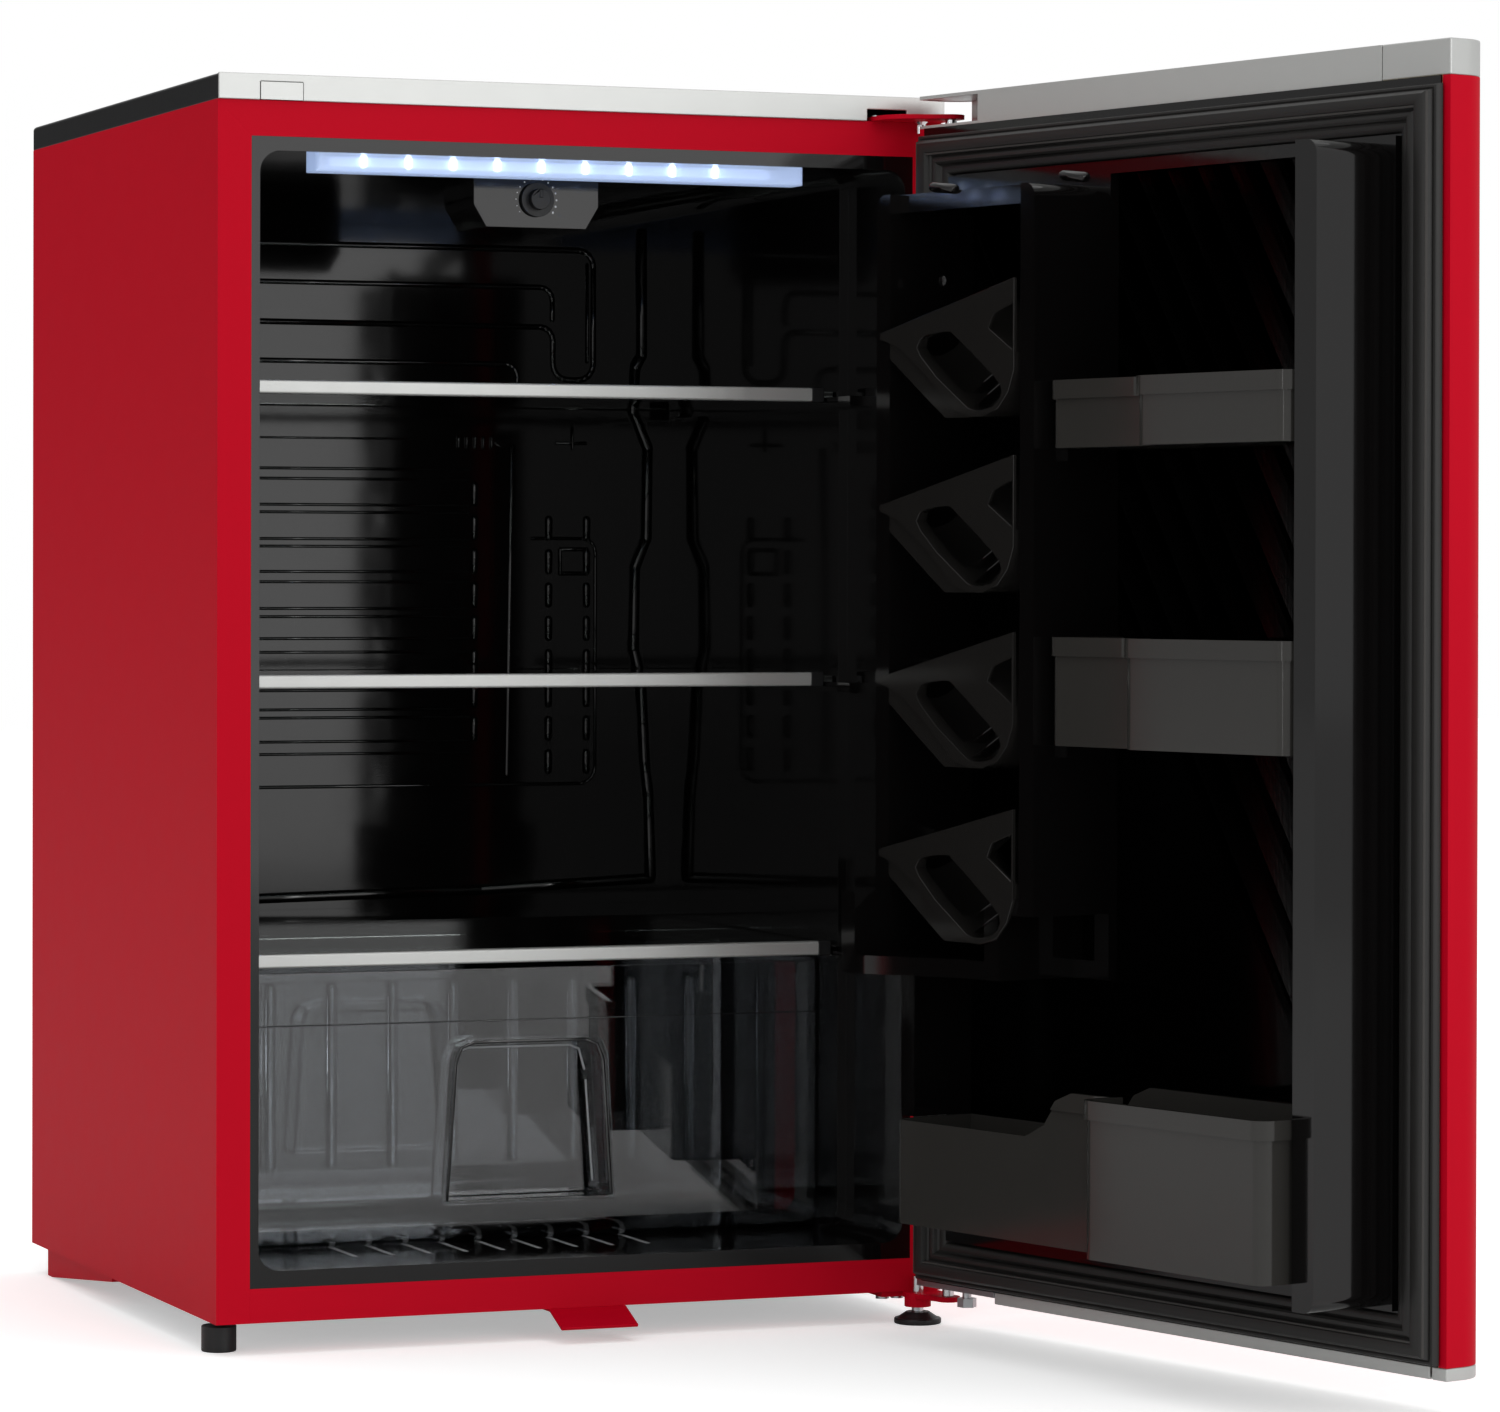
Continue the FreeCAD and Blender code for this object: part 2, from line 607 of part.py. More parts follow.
def front_foot_left():
    """Screw foot: plastic barrel and threaded stem."""
    barrel = rounded("foot_barrel_round", rod(
        "foot_barrel", "z", FOOT_X, "foot_back", "0", "foot_r", "foot_high"), 1, "none")
    barrel.Edges = [(number, 1, 1) for number, edge in enumerate(barrel.Base.Shape.Edges, 1)
                    if edge.Closed and edge.Length > 1]
    stem = rod("foot_stem", "z", FOOT_X, "foot_back", "foot_high - 1", "stem_r", "panel_bottom + 20 - foot_high")
    return node("front_foot_left", fuse("front_foot_left", [barrel, stem]))


front_foot_left()


def cone(name, x, y, z, low_r, high_r, length):
    item = new("Part::Cone", name)
    bind(item, Radius1=low_r, Radius2=high_r, Height=length)
    return bind(item, Placement__Base__x=x, Placement__Base__y=y, Placement__Base__z=z)


def levelling_foot():
    """Disc foot under the hinge corner, on a stem that passes up through the lower bracket."""
    disc = rod("pad_disc", "z", STEM_X, STEM_Y, "0", "pad_r", "4")
    hub = cone("pad_hub", STEM_X, STEM_Y, "4", "pad_r - 2", "stem_r + 4", "4")
    bore = rod("pad_bore", "z", STEM_X, STEM_Y, "4", "stem_r", "10")
    node("levelling_foot_right", cut("levelling_foot_right", fuse("pad", [disc, hub]), [bore]))
    node("levelling_stem_right", rod("levelling_stem_right", "z", STEM_X, STEM_Y, "4", "stem_r", "stem_top - 4"))


levelling_foot()


def upper_hinge():
    """Plate on the top panel with a rounded nose that carries the pin, and a stop stud under it."""
    level = (PANEL_TOP, f"{PANEL_TOP} + hinge_plate")
    root = block("upper_hinge_root", (f"{SIDE} - 53", f"{SIDE} - 3"), ("-8", "flange_lip + 18"), level)
    disc = rod("upper_hinge_disc", "z", f"{SIDE} - 28", "-8", PANEL_TOP, "25", "hinge_plate")
    nose = rod("upper_hinge_nose", "z", PIN_X, PIN_Y, PANEL_TOP, "pin_r + 5", "hinge_plate")
    neck = outline("upper_hinge_neck", "XY", [
        (f"{SIDE} - 47", "-24"), (f"{PIN_X} - 4", f"{PIN_Y} - pin_r - 4"), (f"{PIN_X} + pin_r + 4.8", PIN_Y),
        (f"{SIDE} - 3", "-8")], *level)
    pin_hole = rod("upper_pin_hole", "z", PIN_X, PIN_Y, f"{PANEL_TOP} - 1", "pin_r", "hinge_plate + 2")
    plate = fuse("upper_hinge_body", [root, disc, nose, neck])
    return node("upper_hinge_plate", cut("upper_hinge_plate", plate, [pin_hole, upper_shafts]))


upper_hinge()


def hinge_pins():
    """Upper and lower pins, and the short stop stud beside the upper one."""
    upper = rod("pin_upper", "z", PIN_X, PIN_Y, f"{PANEL_TOP} - bush_high - 4", "pin_r",
                "bush_high + 4 + hinge_plate")
    lower = rod("pin_lower", "z", PIN_X, PIN_Y, "panel_bottom - bracket", "pin_r", "bracket + 20")
    stud = rod("stop_stud", "z", STEM_X, STEM_Y, f"{PANEL_TOP} - 8", "3.5", "8")
    flare = cone("stop_stud_flare", STEM_X, STEM_Y, f"{PANEL_TOP} - 2", "3.5", "5.5", "2")
    return node("hinge_pins", fuse("hinge_pins", [upper, lower, stud, flare]))


hinge_pins()


def lower_hinge():
    """Bracket under the cabinet: plate, boss for the levelling stem, nose for the pin."""
    level = ("panel_bottom - bracket", "panel_bottom")
    root = block("bracket_root", (f"{SIDE} - flange - 20", f"{SIDE} - 2"), ("2", "low_rail_deep + 15"), level)
    arm = block("bracket_arm", (f"{STEM_X} - 8", f"{SIDE} - 2"), ("-stem_out - 4", "3"), level)
    neck = outline("bracket_neck", "XY", [
        (f"{STEM_X} - 8", STEM_Y), (f"{PIN_X} - pin_r - 4", PIN_Y), (f"{PIN_X} + pin_r + 3", PIN_Y),
        (f"{SIDE} - 2", "-stem_out - 4"), (f"{SIDE} - 2", STEM_Y)], *level)
    nose = rod("bracket_nose", "z", PIN_X, PIN_Y, level[0], "pin_r + 4", "bracket")
    boss = rod("bracket_boss", "z", STEM_X, STEM_Y, "panel_bottom - bracket - 6", "stem_r + 5", "bracket + 6")
    pin_hole = rod("bracket_pin_hole", "z", PIN_X, PIN_Y, "panel_bottom - bracket - 1", "pin_r", "bracket + 2")
    bore = rod("bracket_bore", "z", STEM_X, STEM_Y, "panel_bottom - bracket - 7", "stem_r + run_gap",
               "bracket + 8")
    body = fuse("bracket_body", [root, arm, neck, nose, boss])
    return node("lower_hinge_bracket", cut("lower_hinge_bracket", body, [pin_hole, bore, lower_shafts]))


lower_hinge()


def hinge_screws():
    """Pan-head screws of both hinges."""
    upper = [rod(f"upper_head_{number}", "z", x, y, f"{PANEL_TOP} + hinge_plate", "head_r", "head_high")
             for number, (x, y) in enumerate(HINGE_SCREWS)]
    lower = [rod(f"lower_head_{number}", "z", x, y, "panel_bottom - bracket - head_high", "head_r", "head_high")
             for number, (x, y) in enumerate(BRACKET_SCREWS)]
    return node("hinge_screws", fuse("hinge_screws", upper + lower + [upper_shafts, lower_shafts]))


hinge_screws()

# ---- lamp and thermostat ---------------------------------------------------------------------


def lamp():
    """Lens under the ceiling with the LED strip inside it."""
    def shell(name, grow, top):
        return block(name, (f"{grow} - lens_wide / 2", f"lens_wide / 2 - {grow}"),
                     (f"lens_front + {grow}", f"lens_front + lens_deep - {grow}"),
                     (f"{CEILING} - lens_high + {grow}", top))

    lens = rounded("lens_round", shell("lens_outside", "0", CEILING), 4, "xz",
                   lambda p: p.z < evaluate(CEILING) - 1)
    node("led_lens", cut("led_lens", lens, [shell("lens_inside", "lens_wall", f"{CEILING} + 1")]))
    board = block("led_card", ("8 - lens_wide / 2", "lens_wide / 2 - 8"),
                  ("lens_front + 6", "lens_front + lens_deep - 6"), (f"{CEILING} - 2", CEILING))
    lights = [block(f"led_{number}", (f"lens_wide * {place} - 2.5", f"lens_wide * {place} + 2.5"),
                    ("lens_front + lens_deep / 2 - 2", "lens_front + lens_deep / 2 + 2"),
                    (f"{CEILING} - 3.6", f"{CEILING} - 2"))
              for number, place in enumerate(led_places())]
    node("led_board", fuse("led_board", [board] + lights))


def led_places():
    """LED positions as shares of the lens width, evenly spread."""
    count = int(size("led_count"))
    return [round((number + 0.5) / count - 0.5, 4) for number in range(count)]


lamp()


def thermostat():
    """Housing with tapered cheeks, the control body inside, and the knob on its shaft."""
    def cheeks(name, grow, near, far):
        wide, top, low = f"stat_wide / 2 - {grow}", CEILING, f"{CEILING} - stat_high + {grow}"
        return outline(name, "XZ", [
            (f"-({wide})", top), (wide, top), (wide, f"{low} + 15"), (f"{wide} - 9", low),
            (f"9 - ({wide})", low), (f"-({wide})", f"{low} + 15")], near, far)

    outside = cheeks("stat_outside", "0", "stat_front", "stat_front + stat_deep")
    inside = cheeks("stat_inside", "stat_wall", "stat_front + stat_wall",
                    "stat_front + stat_deep - stat_wall")
    hole = rod("stat_hole", "y", "0", "stat_front - 1", "knob_z", "shaft_r + 0.5", "stat_wall + 2")
    node("thermostat_housing", cut("thermostat_housing", outside, [inside, hole]))

    control = block("control_box", ("-16", "16"), ("stat_front + stat_wall + 4", "stat_front + stat_wall + 34"),
                    ("knob_z - 11", "knob_z + 11"))
    seat = rod("control_bore", "y", "0", "stat_front", "knob_z", "shaft_r + run_gap", "stat_wall + 14")
    node("thermostat", cut("thermostat", control, [seat]))

    skirt = rod("knob_skirt", "y", "0", "stat_front - 3.5", "knob_z", "knob_rim", "3")
    grip = rod("knob_grip_part", "y", "0", "stat_front - 10", "knob_z", "knob_grip", "8")
    shaft = rod("knob_shaft", "y", "0", "stat_front - 4", "knob_z", "shaft_r", "stat_wall + 16")
    pointer = block("knob_pointer", ("-1", "1"), ("stat_front - 10.6", "stat_front - 9"),
                    ("knob_z + 1", "knob_z + knob_grip - 0.5"))
    node("thermostat_knob", fuse("thermostat_knob", [skirt, grip, shaft, pointer]))


thermostat()

# ---- shelves and drawer ----------------------------------------------------------------------


def shelf(name, level, front, back):
    """A glass plate on the ledges with a channel trim along its front edge."""
    half = f"({INNER_HALF} - glass_gap)"
    node(f"{name}_glass", block(f"{name}_glass", (f"-{half}", half), (f"{front} + 2", back),
                                (level, f"{level} + glass")))
    trim_half = f"({LEDGE_HALF} - trim_gap)"
    bar = rounded(f"{name}_bar_round", block(
        f"{name}_bar", (f"-{trim_half}", trim_half), (front, f"{front} + trim_deep"),
        (f"{level} - trim_low", f"{level} + glass + trim_high")), 1.5, "x",
        lambda p: p.y < evaluate(front) + 1)
    slot = block(f"{name}_slot", (f"-{half}", half), (f"{front} + 2", f"{front} + trim_deep + 1"),
                 (level, f"{level} + glass"))
    node(f"{name}_trim", cut(f"{name}_trim", bar, [slot]))


shelf("upper_shelf", "upper_shelf_z", "shelf_front", "shelf_back")
shelf("middle_shelf", "middle_shelf_z", "shelf_front", "shelf_back")
shelf("crisper_cover", "crisper_cover_z", "cover_front", "hump_front - 2")


def crisper_drawer():
    """Clear drawer with a grip pocket in its front wall."""
    half = f"({LEDGE_HALF} - drawer_gap)"

    def tub(name, grow, top, radius):
        return rounded(name + "_round", block(
            name, (f"{grow} - {half}", f"{half} - {grow}"), (f"drawer_front + {grow}", f"drawer_back - {grow}"),
            (f"drawer_low + {grow}", top)), radius, "xyz", lambda p: p.z < size("drawer_top") - 1)

    walls = cut("drawer_walls", tub("drawer_outside", "0", "drawer_top", size("drawer_round")),
                [tub("drawer_inside", "drawer_wall", "drawer_top + 1",
                     size("drawer_round") - size("drawer_wall"))])

    def pocket(name, grow, near):
        """The grip: narrower and rounded at the top."""
        low, high = f"grip_low - {grow}", f"grip_top + {grow}"
        left, right = f"(grip_shift - grip_wide / 2 - {grow})", f"(grip_shift + grip_wide / 2 + {grow})"
        return outline(name, "XZ", [
            (f"{left} - 6", low), (f"{right} + 6", low), (right, f"{high} - 14"), (f"{right} - 4", f"{high} - 4"),
            (f"{right} - 14", high), (f"{left} + 14", high), (f"{left} + 4", f"{high} - 4"),
            (left, f"{high} - 14")], near, f"drawer_front + grip_deep + {grow}")

    shell = fuse("drawer_shell", [walls, pocket("grip_walls", "drawer_wall", "drawer_front")])
    return node("crisper_drawer", cut("crisper_drawer", shell, [pocket("grip_space", "0", "drawer_front - 1")]))


crisper_drawer()

# ---- refrigeration, in the bay and on the back -----------------------------------------------


def ellipsoid(name, x, y, z, upright, across):
    """A full ball-like end, flattened along Z."""
    item = new("Part::Ellipsoid", name)
    bind(item, Radius1=upright, Radius2=across)
    return bind(item, Placement__Base__x=x, Placement__Base__y=y, Placement__Base__z=z)


MOUNTS = [(f"comp_x + {dx}", f"comp_y + {dy}") for dx in (-62, 62) for dy in (-38, 38)]
SHELL_TOP = "(comp_low + comp_high)"


def compressor():
    """Welded shell with domed ends on a foot plate, which stands on four rubber grommets."""
    shell = rod("comp_wall", "z", "comp_x", "comp_y", "comp_low", "comp_r", "comp_high")
    ends = [ellipsoid("comp_dome", "comp_x", "comp_y", SHELL_TOP, "28", "comp_r"),
            ellipsoid("comp_sump", "comp_x", "comp_y", "comp_low", "18", "comp_r")]
    seam = rod("comp_seam", "z", "comp_x", "comp_y", f"{SHELL_TOP} - 22", "comp_r + 2", "3")
    feet = block("comp_feet", ("comp_x - 72", "comp_x + 72"), ("comp_y - 48", "comp_y + 48"),
                 ("panel_bottom + 11", "panel_bottom + 13.5"))
    holes = [rod(f"comp_hole_{number}", "z", x, y, "panel_bottom + 5", "4", "12")
             for number, (x, y) in enumerate(MOUNTS)]
    body = fuse("comp_body", [shell, feet, seam] + ends)
    return node("compressor", cut("compressor", body, holes))


compressor_piece = compressor()


def compressor_mounts():
    """Four rubber grommets, each with a neck through the foot plate."""
    rings = [rod(f"grommet_{number}", "z", x, y, "panel_bottom", "9", "11") for number, (x, y) in enumerate(MOUNTS)]
    necks = [rod(f"grommet_neck_{number}", "z", x, y, "panel_bottom + 10", "4", "6")
             for number, (x, y) in enumerate(MOUNTS)]
    return node("compressor_mounts", fuse("compressor_mounts", rings + necks))


compressor_mounts()


def relay_cover():
    """Terminal box on the side of the shell, shaped to it, and the cord's gland in its end."""
    box_part = block("relay_box", ("comp_x - comp_r - 34", "comp_x - comp_r + 14"),
                     ("comp_y - 24", "comp_y + 24"), ("comp_low + 12", "comp_low + 74"))
    shell = rod("relay_relief", "z", "comp_x", "comp_y", "comp_low - 5", "comp_r + 2", "comp_high + 10")
    bore = rod("relay_bore", "x", "comp_x - comp_r - 35", "comp_y", "comp_low + 24", "6", "12")
    node("relay_cover", cut("relay_cover", box_part, [shell, bore]))
    gland = rod("gland_body", "x", "comp_x - comp_r - 46", "comp_y", "comp_low + 24", "6", "22")
    collar = rod("gland_collar", "x", "comp_x - comp_r - 38", "comp_y", "comp_low + 24", "9", "4")
    hole = rod("gland_hole", "x", "comp_x - comp_r - 47", "comp_y", "comp_low + 24", "3.6", "14")
    node("cord_gland", cut("cord_gland", fuse("gland", [gland, collar]), [hole]))


relay_cover()


def drip_pan():
    """Tray above the shell, where melt water dries."""
    level = f"{SHELL_TOP} + 29"
    outside = block("pan_outside", ("comp_x - 60", "comp_x + 60"), ("comp_y - 50", "comp_y + 46"),
                    (level, f"{level} + 24"))
    inside = block("pan_inside", ("comp_x - 58", "comp_x + 58"), ("comp_y - 48", "comp_y + 44"),
                   (f"{level} + 2", f"{level} + 25"))
    return node("drip_pan", cut("drip_pan", outside, [inside]))


drip_pan()


def tube(points, radius, bend):
    """A round tube along straight runs joined by tangent arcs."""
    edges, start = [], points[0]
    for corner, after in zip(points[1:-1], points[2:]):
        before = (start - corner).normalize() if edges else (points[0] - corner).normalize()
        onward = (after - corner).normalize()
        turn = math.pi - before.getAngle(onward)
        reach = bend * math.tan(turn / 2)
        first, last = corner + before * reach, corner + onward * reach
        middle = (before + onward).normalize()
        centre = corner + middle * (bend / math.cos(turn / 2))
        edges.append(Part.LineSegment(start, first).toShape())
        edges.append(Part.Arc(first, centre - middle * bend, last).toShape())
        start = last
    edges.append(Part.LineSegment(start, points[-1]).toShape())
    ring = Part.Wire([Part.Circle(points[0], points[1] - points[0], radius).toShape()])
    return Part.Wire(edges).makePipeShell([ring], True, True)


def coded(name, shape):
    item = new("Part::Feature", name)
    item.Shape = shape
    return item


COIL_Y = size("cab_depth") + size("coil_back")


def condenser():
    """Serpentine tube with upright wires welded to both faces."""
    half, low, pitch = size("coil_half"), size("coil_low"), size("coil_pitch")
    rows = int(size("coil_rows"))
    points = []
    for row in range(rows):
        ends = (-half, half) if row % 2 == 0 else (half, -half)
        points += [V(end, COIL_Y, low + row * pitch) for end in ends]
    serpentine = tube(points, size("coil_r"), pitch * 0.35)
    count, wire_r = int(size("coil_wires")), size("wire_r")
    height = (rows - 1) * pitch + 2 * size("coil_r")
    wires = []
    for number in range(count):
        x = -half * 0.86 + number * 2 * half * 0.86 / (count - 1)
        for side in (-1, 1):
            base = V(x, COIL_Y + side * (size("coil_r") + wire_r), low - size("coil_r"))
            wires.append(Part.makeCylinder(wire_r, height, base, V(0, 0, 1)))
    return node("condenser", coded("condenser", Part.makeCompound([serpentine] + wires)))


condenser()


def condenser_brackets():
    """Clips that grip the coil's bends, and two spacers that keep the wall away."""
    clips = []
    for name, sign, rows in (("left", -1, (1.5, 9.5)), ("right", 1, (0.5, 10.5))):
        near, far = f"{sign} * (coil_half - 3)", f"{sign} * (coil_half + 11)"
        span = (near, far) if sign > 0 else (far, near)
        for row in rows:
            middle = f"coil_low + coil_pitch * {row}"
            clips.append(block(f"clip_{name}_{int(row)}", span, ("cab_depth - steel", "cab_depth + coil_back + 5"),
                               (f"{middle} - coil_pitch * 0.14", f"{middle} + coil_pitch * 0.14")))
    grooves = [rod(f"groove_{name}", "z", f"{sign} * coil_half", "cab_depth + coil_back", "coil_low", "coil_r",
                   "coil_pitch * coil_rows") for name, sign in (("left", -1), ("right", 1))]
    spacers = [block(f"spacer_{name}", (x, f"{x} + 22"), ("cab_depth - steel", "cab_depth + spacer_deep"),
                     (f"{PANEL_TOP} - 40", f"{PANEL_TOP} - 12"))
               for name, x in (("left", "-120"), ("right", "98"))]
    return node("condenser_brackets", fuse("condenser_brackets", [
        cut("clips", fuse("clip_blocks", clips), grooves)] + spacers))


condenser_brackets()


def filter_drier():
    """Copper drier with necked ends, upright in the bay."""
    x, y, low = "-comp_x - 20", "comp_y + 20", "panel_bottom + 60"
    parts = [cone("drier_low", x, y, f"{low} - 14", "3", "9.5", "14"), rod("drier_body", "z", x, y, low, "9.5", "62"),
             cone("drier_high", x, y, f"{low} + 62", "9.5", "3", "14")]
    return node("filter_drier", fuse("filter_drier", parts))


filter_drier()


def refrigerant_tubes():
    """Hot tube from the shell to the coil, liquid tube to the drier, and suction tube back."""
    cx, cy, r = size("comp_x"), size("comp_y"), size("comp_r")
    low, half, back = size("coil_low"), size("coil_half"), COIL_Y
    side = cx + r + 30
    drier_x, drier_y = -cx - 20, cy + 20
    bay_top = evaluate(BAY_TOP)
    floor = size("panel_bottom")
    hot = tube([V(cx + r, cy, 90), V(side, cy, 90), V(side, back, 90), V(side, back, low - 22),
                V(-half - 16, back, low - 22), V(-half - 16, back, low), V(-half - 0.1, back, low)], 2.2, 9)
    liquid = tube([V(drier_x, drier_y, floor + 46), V(drier_x, drier_y, floor + 26),
                   V(drier_x + 40, drier_y, floor + 26)], 1.6, 8)
    suction = tube([V(cx, cy - r, 92), V(cx, cy - r - 14, 92), V(cx - 95, cy - r - 14, 92),
                    V(cx - 95, cy - r - 14, bay_top - 1.5)], 3, 10)
    return node("refrigerant_tubes", coded("refrigerant_tubes", Part.makeCompound([hot, liquid, suction])))


refrigerant_tubes()

# ---- door shell ------------------------------------------------------------------------------


def door_slab(name, low, high, grow="0", near=None, far=None):
    """The door's plan between two levels, drawn in by a wall, with round front corners."""
    base = block(name + "_slab", (f"{grow} - {SIDE}", f"{SIDE} - {grow}"),
                 (far or f"{OUTSIDE} + {grow}", near or INSIDE), (low, high))
    front = evaluate(far or f"{OUTSIDE} + {grow}")
    return rounded(name, base, size("door_round") - evaluate(grow), "z", lambda p: p.y < front + 1)


def door_skin():
    """Folded steel outer skin with a return onto the inner face."""
    outside = door_slab("skin_outside", SKIN_LOW, SKIN_TOP)
    inside = door_slab("skin_inside", f"{SKIN_LOW} - 1", f"{SKIN_TOP} + 1", "steel", near=f"{INSIDE} - steel")
    opening = block("skin_opening", (f"door_lip - {SIDE}", f"{SIDE} - door_lip"),
                    (f"{INSIDE} - 2 * steel", "0"), ("0", "door_top"))
    return node("door_skin", cut("door_skin", outside, [inside, opening]), True)


door_skin()


def trim_shell(name, low, high):
    """Hollow channel trim that follows the door's plan."""
    outside = door_slab(name + "_outside", low, high)
    inside = door_slab(name + "_inside", f"{low} + trim_wall", f"{high} - trim_wall", "trim_wall",
                       near=f"{INSIDE} - trim_wall")
    return cut(name + "_shell", outside, [inside])


def half_space(name, low, high):
    """All of the door's plan between two places across it."""
    return block(name, (low, high), (f"{OUTSIDE} - 5", "5"), ("0", "cab_height + 5"))


PIN_BORE = rod("door_pin_bore", "z", PIN_X, PIN_Y, f"{SKIN_TOP} - bush_high", "bush_r", "bush_high + 5")
LOW_BORE = rod("door_low_bore", "z", PIN_X, PIN_Y, "door_low - 1", "bush_r", "foot_trim + bush_high + 1")


def door_trims():
    """Top trim with the hinge pocket, its end cap, bottom trim and end cap, and the hinge plate."""
    top = trim_shell("top_trim", SKIN_TOP, "door_top")
    seam = f"cap_end - {SIDE}"
    pocket = block("trim_pocket", (f"{SIDE} - pocket_wide", f"{SIDE} + 1"), (f"{OUTSIDE} + 3", "1"),
                   (f"{SKIN_TOP} + trim_wall", "door_top - 2.5"))
    node("door_top_trim", cut("door_top_trim", top, [
        half_space("top_trim_end", f"-{SIDE} - 5", f"{seam} + fit_gap / 2"), pocket, PIN_BORE]), True)
    low = trim_shell("low_trim", "door_low", SKIN_LOW)
    low_seam = f"foot_end - {SIDE}"
    hinge_side = f"{SIDE} - foot_gap_wide"
    node("door_bottom_trim", common("door_bottom_trim", low, half_space(
        "low_trim_span", f"{low_seam} + 1.5", hinge_side)), True)
    caps = [common("top_cap", trim_shell("top_cap_trim", SKIN_TOP, "door_top"), half_space(
        "top_cap_span", f"-{SIDE} - 5", f"{seam} - fit_gap / 2")),
        common("low_cap", trim_shell("low_cap_trim", "door_low", SKIN_LOW), half_space(
            "low_cap_span", f"-{SIDE} - 5", low_seam))]
    node("door_end_caps", fuse("door_end_caps", caps), True)
    plate = common("hinge_plate_span", door_slab("hinge_plate_slab", f"{SKIN_LOW} - 4", SKIN_LOW), half_space(
        "hinge_plate_half", f"{hinge_side} + fit_gap", f"{SIDE} + 5"))
    bolt_hole = rod("stop_bolt_hole", "z", *STOP, f"{SKIN_LOW} - 5", "3", "6")
    node("door_hinge_plate", cut("door_hinge_plate", plate, [LOW_BORE, bolt_hole]), True)


STOP = (f"({PIN_X} - 26.5)", f"({PIN_Y} + 5)")
door_trims()


def door_bushes():
    """Plastic bushes for the two pins."""
    upper = cut("bush_upper", rod("bush_upper_body", "z", PIN_X, PIN_Y, f"{SKIN_TOP} - bush_high", "bush_r",
                                  "bush_high + trim_wall"),
                [rod("bush_upper_bore", "z", PIN_X, PIN_Y, f"{PANEL_TOP} - bush_high - 5", "pin_r + run_gap",
                     "bush_high + 12")])
    lower = cut("bush_lower", rod("bush_lower_body", "z", PIN_X, PIN_Y, f"{SKIN_LOW} - 4", "bush_r",
                                  "4 + bush_high"),
                [rod("bush_lower_bore", "z", PIN_X, PIN_Y, "door_low - 2", "pin_r + run_gap",
                     "panel_bottom + 20 - door_low + 3")])
    return node("door_bushes", fuse("door_bushes", [upper, lower]), True)


door_bushes()


def door_stop_bolt():
    """Hexagon bolt under the door."""
    head = new("Part::Prism", "stop_head")
    head.Polygon = 6
    bind(head, Circumradius="6.5", Height="6")
    bind(head, Placement__Base__x=STOP[0], Placement__Base__y=STOP[1], Placement__Base__z="door_low - 8")
    shank = rod("stop_shank", "z", *STOP, "door_low - 3", "3", "3 + foot_trim")
    return node("door_stop_bolt", fuse("door_stop_bolt", [head, shank]), True)


door_stop_bolt()

# ---- door liner, insulation and gasket -------------------------------------------------------

ROOT = f"({INSIDE} - 18)"
PILLAR_OUT = f"(dyke_out - {SIDE})"
PILLAR_IN = f"(dyke_out + pillar_wide - {SIDE})"
COLUMN_OUT = f"({SIDE} - column_out)"
COLUMN_IN = f"({SIDE} - column_out - column_wall)"
DIVIDER_FAR = f"({SIDE} - column_out - column_wall - column_wide)"
DIVIDER_NEAR = f"({SIDE} - column_out - 2 * column_wall - column_wide)"
TRAY_IN = f"({SIDE} - column_out - tray_wide)"
FIELD_HALF = f"({SIDE} - seal_out - seal_wide - 1.5)"


